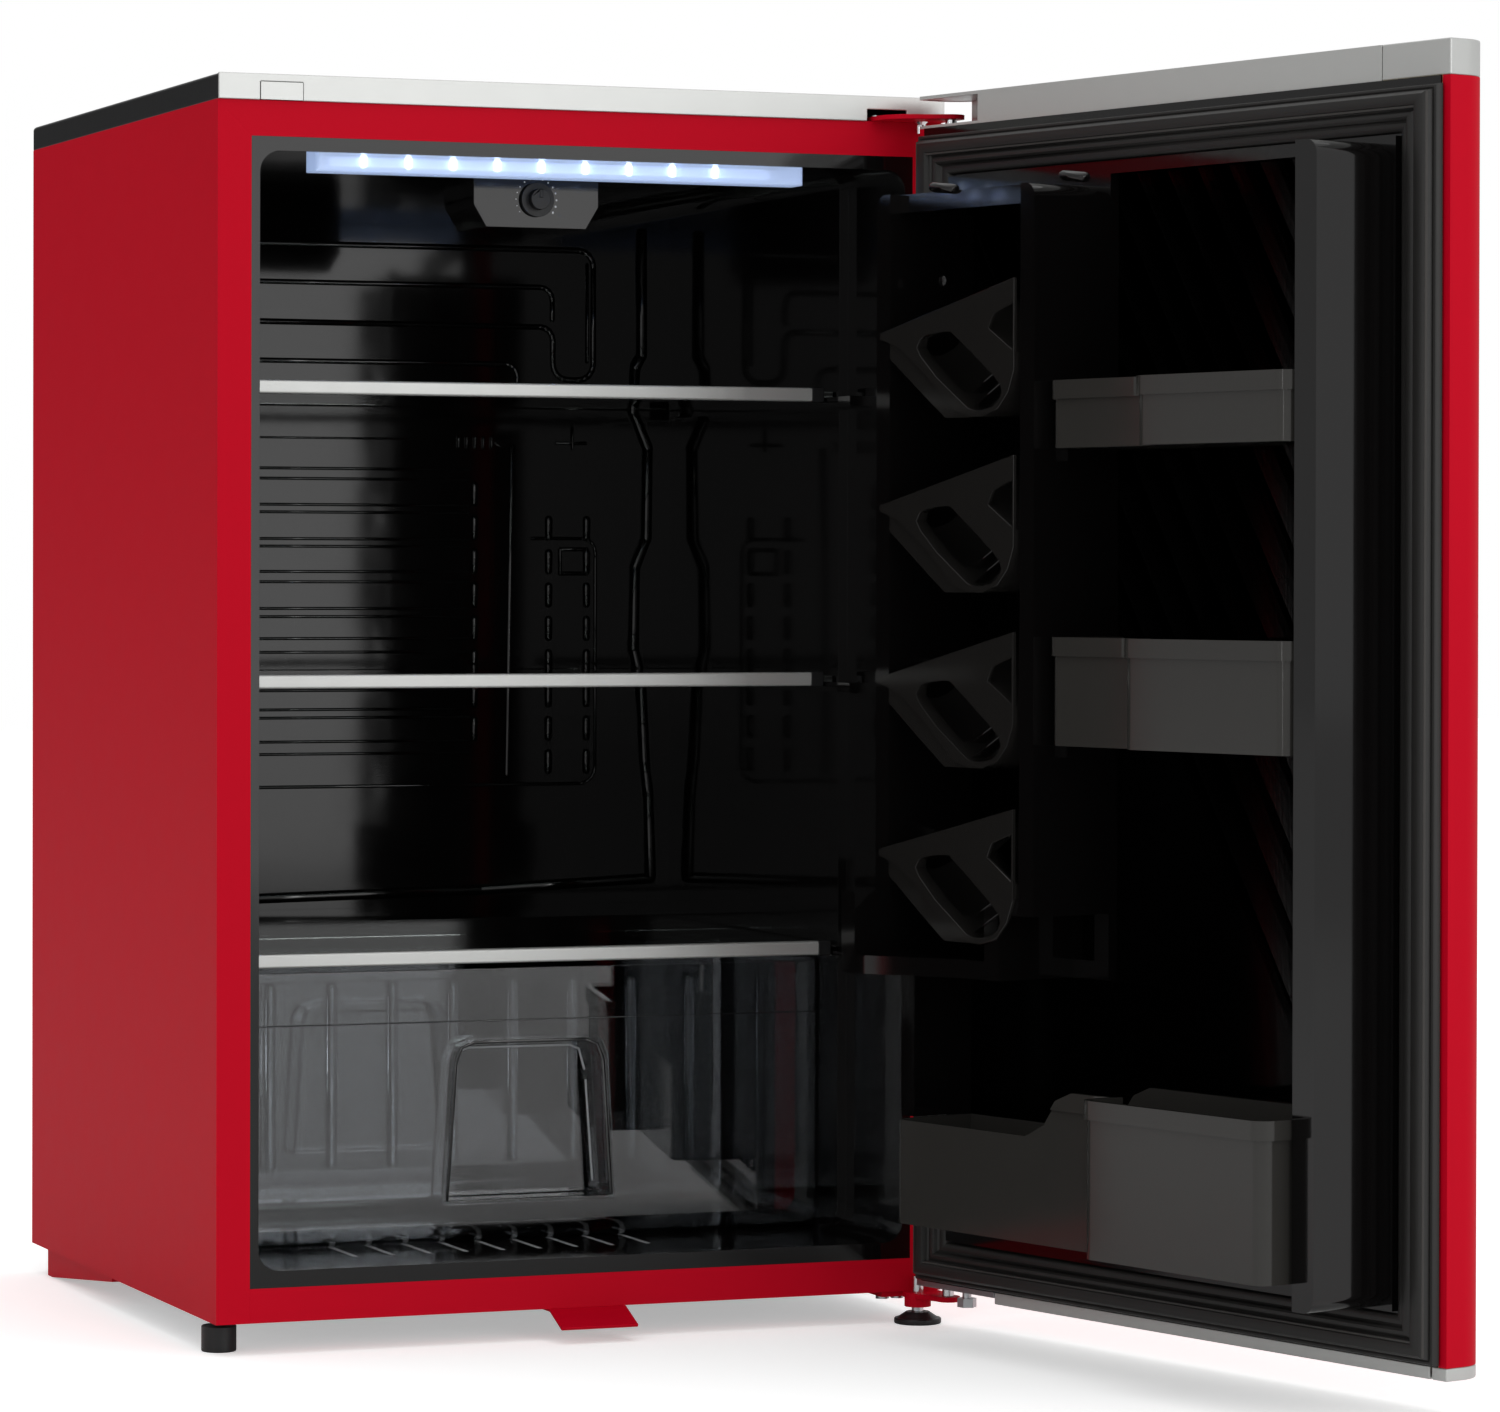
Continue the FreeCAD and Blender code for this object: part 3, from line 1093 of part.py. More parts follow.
def door_form(name, skin):
    """The formed inner face of the door as a solid, drawn in by a sheet thickness: field, pillar,
    can column, tray, less the recesses."""
    def raised(part, x, z, top, free=False, corners=None):
        """A raised block; its sides draw in by the sheet unless they are a free edge."""
        by = "0" if free else skin
        made = block(f"{name}_{part}", (f"{x[0]} + {by}", f"{x[1]} - {by}"), (ROOT, f"{top} - {skin}"),
                     (f"{z[0]} + {by}", f"{z[1]} - {by}"))
        if corners is None:
            return made
        return rounded(f"{name}_{part}_round", made, size("dyke_round") - evaluate(skin), "y", corners)

    def sunk(part, x, z, floor):
        return block(f"{name}_{part}", (f"{x[0]} - {skin}", f"{x[1]} + {skin}"), (f"{floor} - {skin}", "100"),
                     (f"{z[0]} - {skin}", f"{z[1]} + {skin}"))

    edge = f"({SIDE} - door_lip)"
    land = raised("land", (f"-{edge}", edge), (SKIN_LOW, SKIN_TOP), f"({INSIDE} + land_deep)", free=True)
    field = raised("field", (f"-{FIELD_HALF}", FIELD_HALF),
                   ("seal_low + seal_end + 1.5", "seal_top - seal_end - 1.5"), f"({INSIDE} + field_deep)")
    floor = f"({INSIDE} - recess_deep)"
    low_floor = f"({INSIDE} - low_recess_deep)"
    plain = cut(f"{name}_plain", fuse(f"{name}_base", [land, field]), [
        sunk("main", (PILLAR_IN, DIVIDER_NEAR), ("tray_low", "pillar_top - 3"), floor),
        sunk("column", (DIVIDER_FAR, COLUMN_IN), ("tray_low + tray_wall", "dyke_top - tray_wall"), floor),
        sunk("under", (PILLAR_IN, COLUMN_IN), ("pillar_low + 6", "tray_low - 0.01"), low_floor)])
    tray = outline(f"{name}_tray", "XY", [
        (f"{TRAY_IN} - column_wall + {skin}", ROOT), (f"{TRAY_IN} - column_wall + {skin}", f"dyke_high - {skin}"),
        (f"{TRAY_IN} + 20", f"dyke_high - {skin}"), (f"{COLUMN_IN} - 12", f"tray_high - {skin}"),
        (f"{COLUMN_OUT} - {skin}", f"tray_high - {skin}"), (f"{COLUMN_OUT} - {skin}", ROOT)],
        f"tray_low + {skin}", f"tray_low + tray_wall - {skin}")
    return fuse(name, [
        plain, tray,
        raised("pillar", (PILLAR_OUT, PILLAR_IN), ("pillar_low", "pillar_top"), "dyke_high",
               corners=lambda p: p.x < evaluate(PILLAR_IN) - size("pillar_wide") / 2),
        raised("outer", (COLUMN_IN, COLUMN_OUT), ("tray_low", "dyke_top"), "dyke_high",
               corners=lambda p: p.x > evaluate(COLUMN_IN) + size("column_wall") / 2),
        raised("heel", (COLUMN_IN, COLUMN_OUT), ("heel_low", "tray_low + 5"), "heel_high"),
        raised("lip", (COLUMN_IN, COLUMN_OUT), ("tray_low", "tray_rise"), "tray_high"),
        raised("divider", (DIVIDER_NEAR, DIVIDER_FAR), ("tray_rise - 10", "dyke_top"), "dyke_high",
               corners=lambda p: p.x < evaluate(DIVIDER_FAR) - size("column_wall") / 2 and p.z > 500),
        raised("head", (f"{DIVIDER_NEAR} + dyke_round", f"{COLUMN_OUT} - dyke_round"),
               ("dyke_top - tray_wall", "dyke_top"), "(dyke_high - 8)"),
        raised("stub", (f"({TRAY_IN} - column_wall)", TRAY_IN), ("tray_low", "tray_rise"), "dyke_high"),
        raised("bridge", (DIVIDER_NEAR, TRAY_IN), ("(tray_rise - 10)", "tray_rise"), "dyke_high")])


BINS = {
    "upper": ("upper_bin_z", "upper_bin_high", "upper_bulge"),
    "middle": ("middle_bin_z", "middle_bin_high", "middle_bulge"),
}


def lugs():
    """Blocks on the pillar and the divider that the bins stand on."""
    made = []
    for name, (level, _, _) in BINS.items():
        made.append(block(f"lug_{name}_free", (f"{PILLAR_IN} - 1", f"{PILLAR_IN} + lug"), ("-6", "34"),
                          (f"{level} - 8", level)))
        made.append(block(f"lug_{name}_hinge", (f"{DIVIDER_NEAR} - lug", f"{DIVIDER_NEAR} + 1"), ("-6", "34"),
                          (f"{level} - 8", level)))
    made.append(block("lug_bottom_free", (f"{PILLAR_IN} - 1", f"{PILLAR_IN} + lug"), ("-8", "34"),
                      ("bottom_bin_z - 8", "bottom_bin_z")))
    made.append(block("lug_bottom_hinge", (f"{COLUMN_IN} - 30", f"{COLUMN_IN} - 20"), (f"{INSIDE} - 1", "-6"),
                      ("bottom_bin_z - 8", "bottom_bin_z")))
    return made


def door_liner():
    """The formed sheet itself: the solid form less the same form drawn in by the sheet."""
    sheet_part = cut("liner_sheet", door_form("door_form", "0"), [door_form("door_core", "liner_thick")])
    return node("door_liner", fuse("door_liner", [sheet_part] + lugs()), True)


door_liner()


def door_foam():
    """Insulation between skin and liner, also inside the raised walls."""
    slab = door_slab("foam_slab", SKIN_LOW, SKIN_TOP, "steel", near=f"{INSIDE} - steel")
    hollow = fuse("foam_sinks", [
        block("foam_main", (f"{PILLAR_IN} - liner_thick", f"{DIVIDER_NEAR} + liner_thick"),
              (f"{INSIDE} - recess_deep - liner_thick", "0"),
              ("tray_low - liner_thick", "pillar_top - 3 + liner_thick")),
        block("foam_column", (f"{DIVIDER_FAR} - liner_thick", f"{COLUMN_IN} + liner_thick"),
              (f"{INSIDE} - recess_deep - liner_thick", "0"),
              ("tray_low + tray_wall - liner_thick", "dyke_top - tray_wall + liner_thick")),
        block("foam_under", (f"{PILLAR_IN} - liner_thick", f"{COLUMN_IN} + liner_thick"),
              (f"{INSIDE} - low_recess_deep - liner_thick", "0"),
              ("pillar_low + 6 - liner_thick", "tray_low + liner_thick"))])
    core = cut("foam_core", slab, [hollow])
    return node("door_foam", cut("door_foam", fuse("foam_joined", [core, door_form("foam_form", "liner_thick")]),
                                 [PIN_BORE, LOW_BORE, rod("foam_bolt", "z", *STOP, "0", "3.2", "door_low + 14")]),
                True)


door_foam()


def seal_frame(name, outer, width, near, far, end):
    """A rectangular ring, outer being its distance from the door's edge."""
    outer = f"({outer})"
    ring = block(name + "_ring", (f"{outer} - {SIDE}", f"{SIDE} - {outer}"), (far, near),
                 (f"seal_low + {outer} - seal_out", f"seal_top - {outer} + seal_out"))
    hole = block(name + "_hole", (f"{outer} + {width} - {SIDE}", f"{SIDE} - {outer} - {width}"),
                 (f"{far} - 1", f"{near} + 1"),
                 (f"seal_low + {outer} - seal_out + {end}", f"seal_top - {outer} + seal_out - {end}"))
    return cut(name, ring, [hole])


def gasket():
    """Magnetic gasket: a soft frame with a magnet strip sealed in it."""
    near, far = "-seal_proud", f"({INSIDE} + land_deep)"
    magnet = ("seal_out + 5", "9", "-seal_proud - 1.5", "-seal_proud - 4.5", "9")
    frame = seal_frame("gasket_frame", "seal_out", "seal_wide", near, far, "seal_end")
    node("door_gasket", cut("door_gasket", frame, [seal_frame("magnet_slot", *magnet)]), True)
    node("gasket_magnets", seal_frame("gasket_magnets", *magnet), True)


gasket()

# ---- bins and can holders --------------------------------------------------------------------

BIN_FREE = f"({PILLAR_IN} + bin_gap)"
BIN_HINGE = f"({DIVIDER_NEAR} - bin_gap)"


def bin_body(name, parts, floor, rim):
    """A tub of one or two boxes given as (low x, high x, back, front, height), with a rim band.
    Each wall is drawn in by the bin wall, and the band stands out from it."""
    def tub(stage, by, low, high):
        made = []
        for number, (x0, x1, back, front, height) in enumerate(parts):
            top = high.replace("TOP", f"({floor} + {height})")
            lower = low.replace("TOP", f"({floor} + {height})")
            # the boxes share a side, so the inner ones are kept long enough to meet
            near = f"{x0} + {by}" if number == 0 else f"{x0} - {by}"
            far = f"{x1} - {by}"
            raw = block(f"{name}_{stage}_{number}", (near, far), (f"{back} + {by}", f"{front} - {by}"),
                        (lower, top))
            made.append(rounded(f"{name}_{stage}_{number}_round", raw,
                                max(size("bin_round") - evaluate(by), 1), "z",
                                lambda p, y=evaluate(front) - evaluate(by): p.y > y - 1))
        return made[0] if len(made) == 1 else fuse(f"{name}_{stage}", made)

    outside = tub("outside", "rim_out", floor, "TOP")
    band = tub("band", "0", f"TOP - {rim}", "TOP")
    inside = tub("inside", "(rim_out + bin_wall)", f"{floor} + bin_wall", "TOP + 1")
    return cut(name, fuse(f"{name}_solid", [outside, band]), [inside])


def bins():
    back = f"({INSIDE} - recess_deep + bin_gap)"
    for name, (level, high, bulge) in BINS.items():
        step = f"({BIN_FREE} + {bulge})"
        node(f"{name}_bin", bin_body(f"{name}_bin", [
            (BIN_FREE, step, back, "bulge_front", high),
            (step, BIN_HINGE, back, "bin_high_front", high)], level, "bin_rim"), True)
    low_back = f"({INSIDE} - low_recess_deep + bin_gap)"
    step, last = f"({BIN_FREE} + bottom_bulge)", f"({COLUMN_IN} - bin_gap)"
    whole = bin_body("bottom_bin", [
        (BIN_FREE, step, low_back, "bottom_bulge_front", "bottom_bin_high"),
        (step, last, low_back, "bottom_front", "bottom_bin_high")], "bottom_bin_z", "bin_rim")
    # the rim drops in an easy curve from the deep part to the hinge side
    top, low = "(bottom_bin_z + bottom_bin_high)", "(bottom_bin_z + bottom_bin_step)"
    first, run = f"({BIN_FREE} + step_high)", "(step_low - step_high)"
    drop = outline("bottom_bin_drop", "XZ", [
        (first, f"{top} + 1"), (first, top), (f"{first} + {run} * 0.4", f"{top} - 6"),
        (f"{first} + {run} * 0.75", f"{low} + 8"), (f"{first} + {run} * 1.2", low), (f"{last} + 1", low),
        (f"{last} + 1", f"{top} + 1")], f"{low_back} - 1", "bottom_front + 1")
    node("bottom_bin", cut("bottom_bin_stepped", whole, [drop]), True)


bins()


# can holder outlines: across the door, and above the holder's left tip
CAN_PLATE = [(205, -4), (205, 0), (66, 31), (66, -28), (72, -42), (82, -52), (98, -57), (112, -56.5), (127, -53),
             (155, -30), (185, -10)]
CAN_CRADLE = [(197.7, -17), (197.7, 1), (118, 19), (115.5, 13.6), (66, -17), (66, -28), (72, -42), (82, -52),
              (98, -57), (139, -57), (160, -43)]
CAN_WINDOW = [(166, -10.5), (162, -5), (155.6, -2.7), (140, -1.2), (131, -1.2), (109, -15.6), (88.5, -29.8),
              (80, -37), (78.5, -42), (81, -47), (88, -51), (98.6, -52.8), (106, -52.6), (112.6, -51.2),
              (145, -30.6), (162, -16.3)]
CAN_CORNER = [(67.5, 15), (87, 8.5), (92, -0.5), (67.5, -15)]
CAN_BASE = (120.3, -27)


def can_holder(number):
    """Front plate with a raked rim and a slanting window, and a cradle behind it whose axis falls
    towards the divider."""
    name = f"can_holder_{number + 1}"
    tip = f"(can_first - can_pitch * {number})"
    front = "dyke_high + fit_gap"

    def level(points):
        return [(f"{across}", f"{tip} + {above}") for across, above in points]

    plate = outline(f"{name}_plate", "XZ", level(CAN_PLATE), front, f"{front} + can_plate")
    cradle = outline(f"{name}_cradle", "XZ", level(CAN_CRADLE), f"{INSIDE} - recess_deep + fit_gap", front)
    window = outline(f"{name}_window", "XZ", level(CAN_WINDOW), "24", f"{front} + can_plate + 1")
    corner = outline(f"{name}_corner", "XZ", level(CAN_CORNER), f"{front} - 1", f"{front} + can_plate + 1")
    can = rod(f"{name}_can", "z", f"{CAN_BASE[0]}", "20", f"{tip} + {CAN_BASE[1]}", "can_r", "200")
    can.Placement.Rotation = FreeCAD.Rotation(V(0, 1, 0), 90 - size("can_tilt"))
    stub = block(f"{name}_stub", (f"{DIVIDER_FAR} - 1", f"{TRAY_IN} + fit_gap"), ("-door_gap - 20", front),
                 ("tray_low", "tray_rise + fit_gap"))
    body = fuse(f"{name}_body", [plate, cradle])
    return node(name, cut(name, body, [can, window, corner, stub]), True)


for holder in range(4):
    can_holder(holder)

# ---- check and write -------------------------------------------------------------------------


def check():
    doc.recompute()
    bad = [item.Name for item in doc.Objects if {"Invalid", "Error"} & set(item.State)]
    bad += [item.Label for item in NODES if item.Shape.isNull() or not item.Shape.isValid()
            or not item.Shape.Solids]
    if bad:
        raise RuntimeError("failed: " + ", ".join(bad))


check()
os.makedirs("parts", exist_ok=True)
for piece in NODES:
    piece.Shape.exportStep(f"parts/{piece.Label}.step")
print(len(NODES), "sub-parts written")
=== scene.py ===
import json
import math

import bmesh
import bpy
from mathutils import Matrix, Vector


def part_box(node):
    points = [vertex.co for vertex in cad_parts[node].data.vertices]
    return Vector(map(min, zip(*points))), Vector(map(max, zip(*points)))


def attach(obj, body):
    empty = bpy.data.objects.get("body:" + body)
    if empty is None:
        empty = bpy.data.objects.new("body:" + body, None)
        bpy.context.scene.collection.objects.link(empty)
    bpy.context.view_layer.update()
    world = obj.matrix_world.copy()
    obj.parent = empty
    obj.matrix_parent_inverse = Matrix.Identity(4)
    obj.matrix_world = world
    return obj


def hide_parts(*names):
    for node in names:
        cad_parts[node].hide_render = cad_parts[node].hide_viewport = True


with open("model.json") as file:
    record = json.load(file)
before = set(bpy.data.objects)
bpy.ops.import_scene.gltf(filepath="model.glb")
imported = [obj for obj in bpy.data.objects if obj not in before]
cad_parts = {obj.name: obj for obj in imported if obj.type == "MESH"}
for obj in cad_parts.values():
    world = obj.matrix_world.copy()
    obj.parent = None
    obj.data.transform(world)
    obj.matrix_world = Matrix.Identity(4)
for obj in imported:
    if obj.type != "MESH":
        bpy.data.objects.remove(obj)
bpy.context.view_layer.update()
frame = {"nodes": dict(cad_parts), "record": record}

bl_info = {
    "name": "Compact Refrigerator",
    "version": (1, 0, 0),
    "blender": (4, 5, 0),
    "location": "3D View > Sidebar > Fridge",
    "description": "Finishes, small parts and stage for a compact refrigerator",
    "category": "Object",
}

MM = 0.001
NODES = frame["nodes"]

# ---- finishes --------------------------------------------------------------------------------

WAVE_HEIGHT, GRAIN_HEIGHT = 4 * MM, 0.3 * MM
GRAIN_FINENESS = 12.0  # how much finer the grain is than the colour's variation


def linear(red, green, blue):
    """An 8-bit screen colour as scene-linear values."""
    return [((c / 255 + 0.055) / 1.055) ** 2.4 if c > 10 else c / 255 / 12.92 for c in (red, green, blue)]


def surface_group():
    """Node group: a coat's slow waviness and fine grain, as a colour, a roughness and a normal."""
    if "Surface Wear" in bpy.data.node_groups:
        return bpy.data.node_groups["Surface Wear"]
    group = bpy.data.node_groups.new("Surface Wear", "ShaderNodeTree")
    face = group.interface
    for name, kind, value in (("Scale", "NodeSocketFloat", 60.0), ("Wave Scale", "NodeSocketFloat", 9.0),
                              ("Tone", "NodeSocketFloat", 0.05), ("Roughness", "NodeSocketFloat", 0.3),
                              ("Roughness Spread", "NodeSocketFloat", 0.05), ("Grain", "NodeSocketFloat", 0.05),
                              ("Wave", "NodeSocketFloat", 0.0), ("Color", "NodeSocketColor", None)):
        socket = face.new_socket(name=name, in_out="INPUT", socket_type=kind)
        if value is not None:
            socket.default_value = value
    for name, kind in (("Color", "NodeSocketColor"), ("Roughness", "NodeSocketFloat"), ("Normal", "NodeSocketVector")):
        face.new_socket(name=name, in_out="OUTPUT", socket_type=kind)
    nodes, links = group.nodes, group.links
    enter, leave = nodes.new("NodeGroupInput"), nodes.new("NodeGroupOutput")
    place = nodes.new("ShaderNodeTexCoord")
    fine, slow, grain = (nodes.new("ShaderNodeTexNoise") for _ in range(3))
    for noise, detail in ((fine, 3.0), (slow, 1.0), (grain, 2.0)):
        noise.inputs["Detail"].default_value = detail
        links.new(place.outputs["Object"], noise.inputs["Vector"])
    links.new(enter.outputs["Wave Scale"], slow.inputs["Scale"])
    links.new(enter.outputs["Scale"], fine.inputs["Scale"])
    finer = nodes.new("ShaderNodeMath")
    finer.operation = "MULTIPLY"
    finer.inputs[1].default_value = GRAIN_FINENESS
    links.new(enter.outputs["Scale"], finer.inputs[0])
    links.new(finer.outputs[0], grain.inputs["Scale"])

    def around(noise, middle, spread):
        """middle + (noise - 0.5) * 2 * spread"""
        off = nodes.new("ShaderNodeMath")
        off.operation = "MULTIPLY_ADD"
        off.inputs[1].default_value, off.inputs[2].default_value = 2.0, -1.0
        links.new(noise.outputs["Fac"], off.inputs[0])
        out = nodes.new("ShaderNodeMath")
        out.operation = "MULTIPLY_ADD"
        links.new(off.outputs[0], out.inputs[0])
        links.new(spread, out.inputs[1])
        if middle is None:
            out.inputs[2].default_value = 1.0
        else:
            links.new(middle, out.inputs[2])
        return out.outputs[0]

    tone = around(fine, None, enter.outputs["Tone"])
    tint = nodes.new("ShaderNodeVectorMath")
    tint.operation = "SCALE"
    links.new(enter.outputs["Color"], tint.inputs[0])
    links.new(tone, tint.inputs["Scale"])
    links.new(tint.outputs["Vector"], leave.inputs["Color"])
    links.new(around(fine, enter.outputs["Roughness"], enter.outputs["Roughness Spread"]), leave.inputs["Roughness"])
    wave = nodes.new("ShaderNodeBump")
    wave.inputs["Distance"].default_value = WAVE_HEIGHT
    links.new(enter.outputs["Wave"], wave.inputs["Strength"])
    links.new(slow.outputs["Fac"], wave.inputs["Height"])
    bump = nodes.new("ShaderNodeBump")
    bump.inputs["Distance"].default_value = GRAIN_HEIGHT
    links.new(enter.outputs["Grain"], bump.inputs["Strength"])
    links.new(grain.outputs["Fac"], bump.inputs["Height"])
    links.new(wave.outputs["Normal"], bump.inputs["Normal"])
    links.new(bump.outputs["Normal"], leave.inputs["Normal"])
    return group


def finish(name, color, rough, spread=0.04, tone=0.04, grain=0.05, wave=0.0, scale=60.0, wave_scale=9.0, **shader):
    """A named material: one Principled shader. The surface group feeds what varies over the surface, and what
    is the same all over is set on the shader itself."""
    label = name.replace("_", " ").capitalize()
    if label in bpy.data.materials:
        return bpy.data.materials[label]
    material = bpy.data.materials.new(label)
    material.use_nodes = True
    material.diffuse_color = (*color, 1)
    nodes, links = material.node_tree.nodes, material.node_tree.links
    principled = nodes["Principled BSDF"]
    principled.inputs["Base Color"].default_value = (*color, 1)
    principled.inputs["Roughness"].default_value = rough
    varying = [pair for pair, used in ((("Color", "Base Color"), tone), (("Roughness", "Roughness"), spread),
                                       (("Normal", "Normal"), grain or wave)) if used]
    if varying:
        wear = nodes.new("ShaderNodeGroup")
        wear.node_tree = surface_group()
        wear.location = (-300, 0)
        for socket, value in (("Scale", scale), ("Wave Scale", wave_scale), ("Tone", tone), ("Roughness", rough),
                              ("Roughness Spread", spread), ("Grain", grain), ("Wave", wave),
                              ("Color", (*color, 1))):
            wear.inputs[socket].default_value = value
        for output, socket in varying:
            links.new(wear.outputs[output], principled.inputs[socket])
    for socket, value in shader.items():
        principled.inputs[socket.replace("_", " ")].default_value = value
    if "Alpha" in shader or "Transmission_Weight" in shader:
        material.surface_render_method = "DITHERED"
    return material


# slot of the record: colour, roughness and what else the finish needs
FINISHES = {
    "red_steel": dict(color=linear(178, 2, 28), rough=0.5, spread=0.03, tone=0.02, grain=0.10, wave=0.02,
                      Specular_IOR_Level=0.05),
    "galvanised": dict(color=linear(150, 152, 155), rough=0.42, spread=0.12, tone=0.12, scale=35, Metallic=1.0),
    "black_plastic": dict(color=linear(24, 24, 25), rough=0.38, grain=0.25, Specular_IOR_Level=0.3),
    "silver_plastic": dict(color=linear(182, 183, 181), rough=0.34, tone=0.02, Metallic=0.5),
    "foam": dict(color=linear(225, 205, 150), rough=0.9, grain=0.6),
    "liner_black": dict(color=linear(9, 8, 8), rough=0.07, spread=0.02, grain=0.0, wave=0.06, wave_scale=6,
                        IOR=1.4),
    "aluminium": dict(color=linear(196, 195, 192), rough=0.42, Metallic=0.85),
    "chrome": dict(color=linear(215, 216, 218), rough=0.12, Metallic=1.0),
    "zinc": dict(color=linear(185, 187, 190), rough=0.3, Metallic=1.0),
    "board": dict(color=linear(20, 90, 55), rough=0.4),
    "frosted_lens": dict(color=linear(205, 218, 240), rough=0.2, tone=0.02, Alpha=0.6,
                         Emission_Color=(0.55, 0.7, 1.0, 1.0), Emission_Strength=0.42),
    "shelf_glass": dict(color=linear(226, 238, 234), rough=0.0, spread=0.0, grain=0.0, tone=0.0,
                        Transmission_Weight=1.0, IOR=1.5),
    "smoked_clear": dict(color=linear(226, 229, 232), rough=0.01, spread=0.01, grain=0.0, tone=0.0,
                         Transmission_Weight=1.0, IOR=1.49),
    "black_enamel": dict(color=linear(20, 20, 21), rough=0.28, grain=0.1, Coat_Weight=0.3),
    "rubber": dict(color=linear(26, 26, 27), rough=0.75, grain=0.3),
    "copper": dict(color=linear(184, 115, 80), rough=0.3, spread=0.1, tone=0.1, Metallic=1.0),
    "gasket": dict(color=linear(30, 29, 28), rough=0.46, Specular_IOR_Level=0.3, spread=0.05, grain=0.10),
    "magnet": dict(color=linear(50, 48, 46), rough=0.7),
    "white_plastic": dict(color=linear(225, 225, 222), rough=0.4),
    "bin_black": dict(color=linear(44, 43, 41), rough=0.12, spread=0.03, grain=0.0, wave=0.04, wave_scale=8,
                      IOR=1.36),
    "can_black": dict(color=linear(26, 25, 24), rough=0.1, spread=0.02, grain=0.0, wave=0.04, wave_scale=8,
                      IOR=1.45),
}


def slot_finish(slot):
    """The material of one of the record's slots."""
    return finish(slot, **FINISHES[slot])


def glow(name, color, strength):
    """A lamp's material."""
    material = finish(name, color, 0.3)
    principled = material.node_tree.nodes["Principled BSDF"]
    principled.inputs["Emission Color"].default_value = (*color, 1)
    principled.inputs["Emission Strength"].default_value = strength
    return material


# ---- making pieces ---------------------------------------------------------------------------


def plain_piece(name, mesh_or_bm, slot, body, replaced=()):
    """A finished mesh object that rides on a body."""
    if isinstance(mesh_or_bm, bmesh.types.BMesh):
        bmesh.ops.recalc_face_normals(mesh_or_bm, faces=mesh_or_bm.faces)
        mesh = bpy.data.meshes.new(name)
        mesh_or_bm.to_mesh(mesh)
        mesh_or_bm.free()
    else:
        mesh = mesh_or_bm
        mesh.name = name
    piece = bpy.data.objects.new(name, mesh)
    bpy.context.scene.collection.objects.link(piece)
    if slot is not None and not mesh.materials:
        mesh.materials.append(slot_finish(slot))
    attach(piece, body)
    if replaced:
        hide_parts(*replaced)
    return piece


def shade_tree():
    """Geometry Nodes: smooth faces with sharp edges past an angle."""
    if "Shade By Angle" in bpy.data.node_groups:
        return bpy.data.node_groups["Shade By Angle"]
    tree = bpy.data.node_groups.new("Shade By Angle", "GeometryNodeTree")
    tree.interface.new_socket(name="Geometry", in_out="INPUT", socket_type="NodeSocketGeometry")
    tree.interface.new_socket(name="Geometry", in_out="OUTPUT", socket_type="NodeSocketGeometry")
    angle = tree.interface.new_socket(name="Angle", in_out="INPUT", socket_type="NodeSocketFloat")
    angle.default_value = math.radians(32)
    nodes, links = tree.nodes, tree.links
    enter, leave = nodes.new("NodeGroupInput"), nodes.new("NodeGroupOutput")
    edge = nodes.new("GeometryNodeInputMeshEdgeAngle")
    compare = nodes.new("FunctionNodeCompare")
    compare.operation = "LESS_THAN"
    links.new(edge.outputs["Unsigned Angle"], compare.inputs[0])
    links.new(enter.outputs["Angle"], compare.inputs[1])
    faces, edges = nodes.new("GeometryNodeSetShadeSmooth"), nodes.new("GeometryNodeSetShadeSmooth")
    faces.domain, edges.domain = "FACE", "EDGE"
    links.new(enter.outputs["Geometry"], faces.inputs["Geometry"])
    links.new(faces.outputs["Geometry"], edges.inputs["Geometry"])
    links.new(compare.outputs["Result"], edges.inputs["Shade Smooth"])
    links.new(edges.outputs["Geometry"], leave.inputs[0])
    return tree


JOIN_WITHIN = 0.02 * MM
FLAT_WITHIN, CREASE_FROM = math.radians(0.5), math.radians(38)


def soften(piece, width, segments=3, weld=True):
    """Rounds a piece's edges: its flats are joined first, and shading follows the flats."""
    if weld:
        join = piece.modifiers.new("Join", "WELD")
        join.merge_threshold = JOIN_WITHIN
        flat = piece.modifiers.new("Flats", "DECIMATE")
        flat.decimate_type = "DISSOLVE"
        flat.angle_limit = FLAT_WITHIN
    if width:
        round_off = piece.modifiers.new("Edges", "BEVEL")
        round_off.width = width
        round_off.segments = segments
        round_off.limit_method = "ANGLE"
        round_off.angle_limit = CREASE_FROM
        round_off.miter_outer = "MITER_ARC"
    shade = piece.modifiers.new("Shade", "NODES")
    shade.node_group = shade_tree()
    weigh = piece.modifiers.new("Weigh", "WEIGHTED_NORMAL")
    weigh.keep_sharp = True


# edge rounding of the CAD nodes, in millimetres; the rest stay crisp
EDGE = {
    "door_liner": 4.0, "worktop": 1.2, "worktop_front_strip": 0.6, "inner_liner": 1.2, "crisper_drawer": 0.9,
    "upper_bin": 0.9, "middle_bin": 0.9, "bottom_bin": 0.9, "can_holder_1": 1.3, "can_holder_2": 1.3,
    "can_holder_3": 1.3, "can_holder_4": 1.3, "thermostat_housing": 1.6, "thermostat_knob": 0.6,
    "door_top_trim": 0.9, "door_end_caps": 1.2, "door_bottom_trim": 0.8, "upper_hinge_plate": 0.8,
    "lower_hinge_bracket": 0.7, "front_tab": 0.5, "levelling_foot_right": 1.0, "relay_cover": 1.5,
    "condenser_brackets": 0.8, "drip_pan": 0.6, "bottom_rail": 0.3, "top_panel": 0.25, "door_skin": 0.3,
    "led_lens": 0.5, "door_hinge_plate": 0.4, "base_plate": 0.4,
}


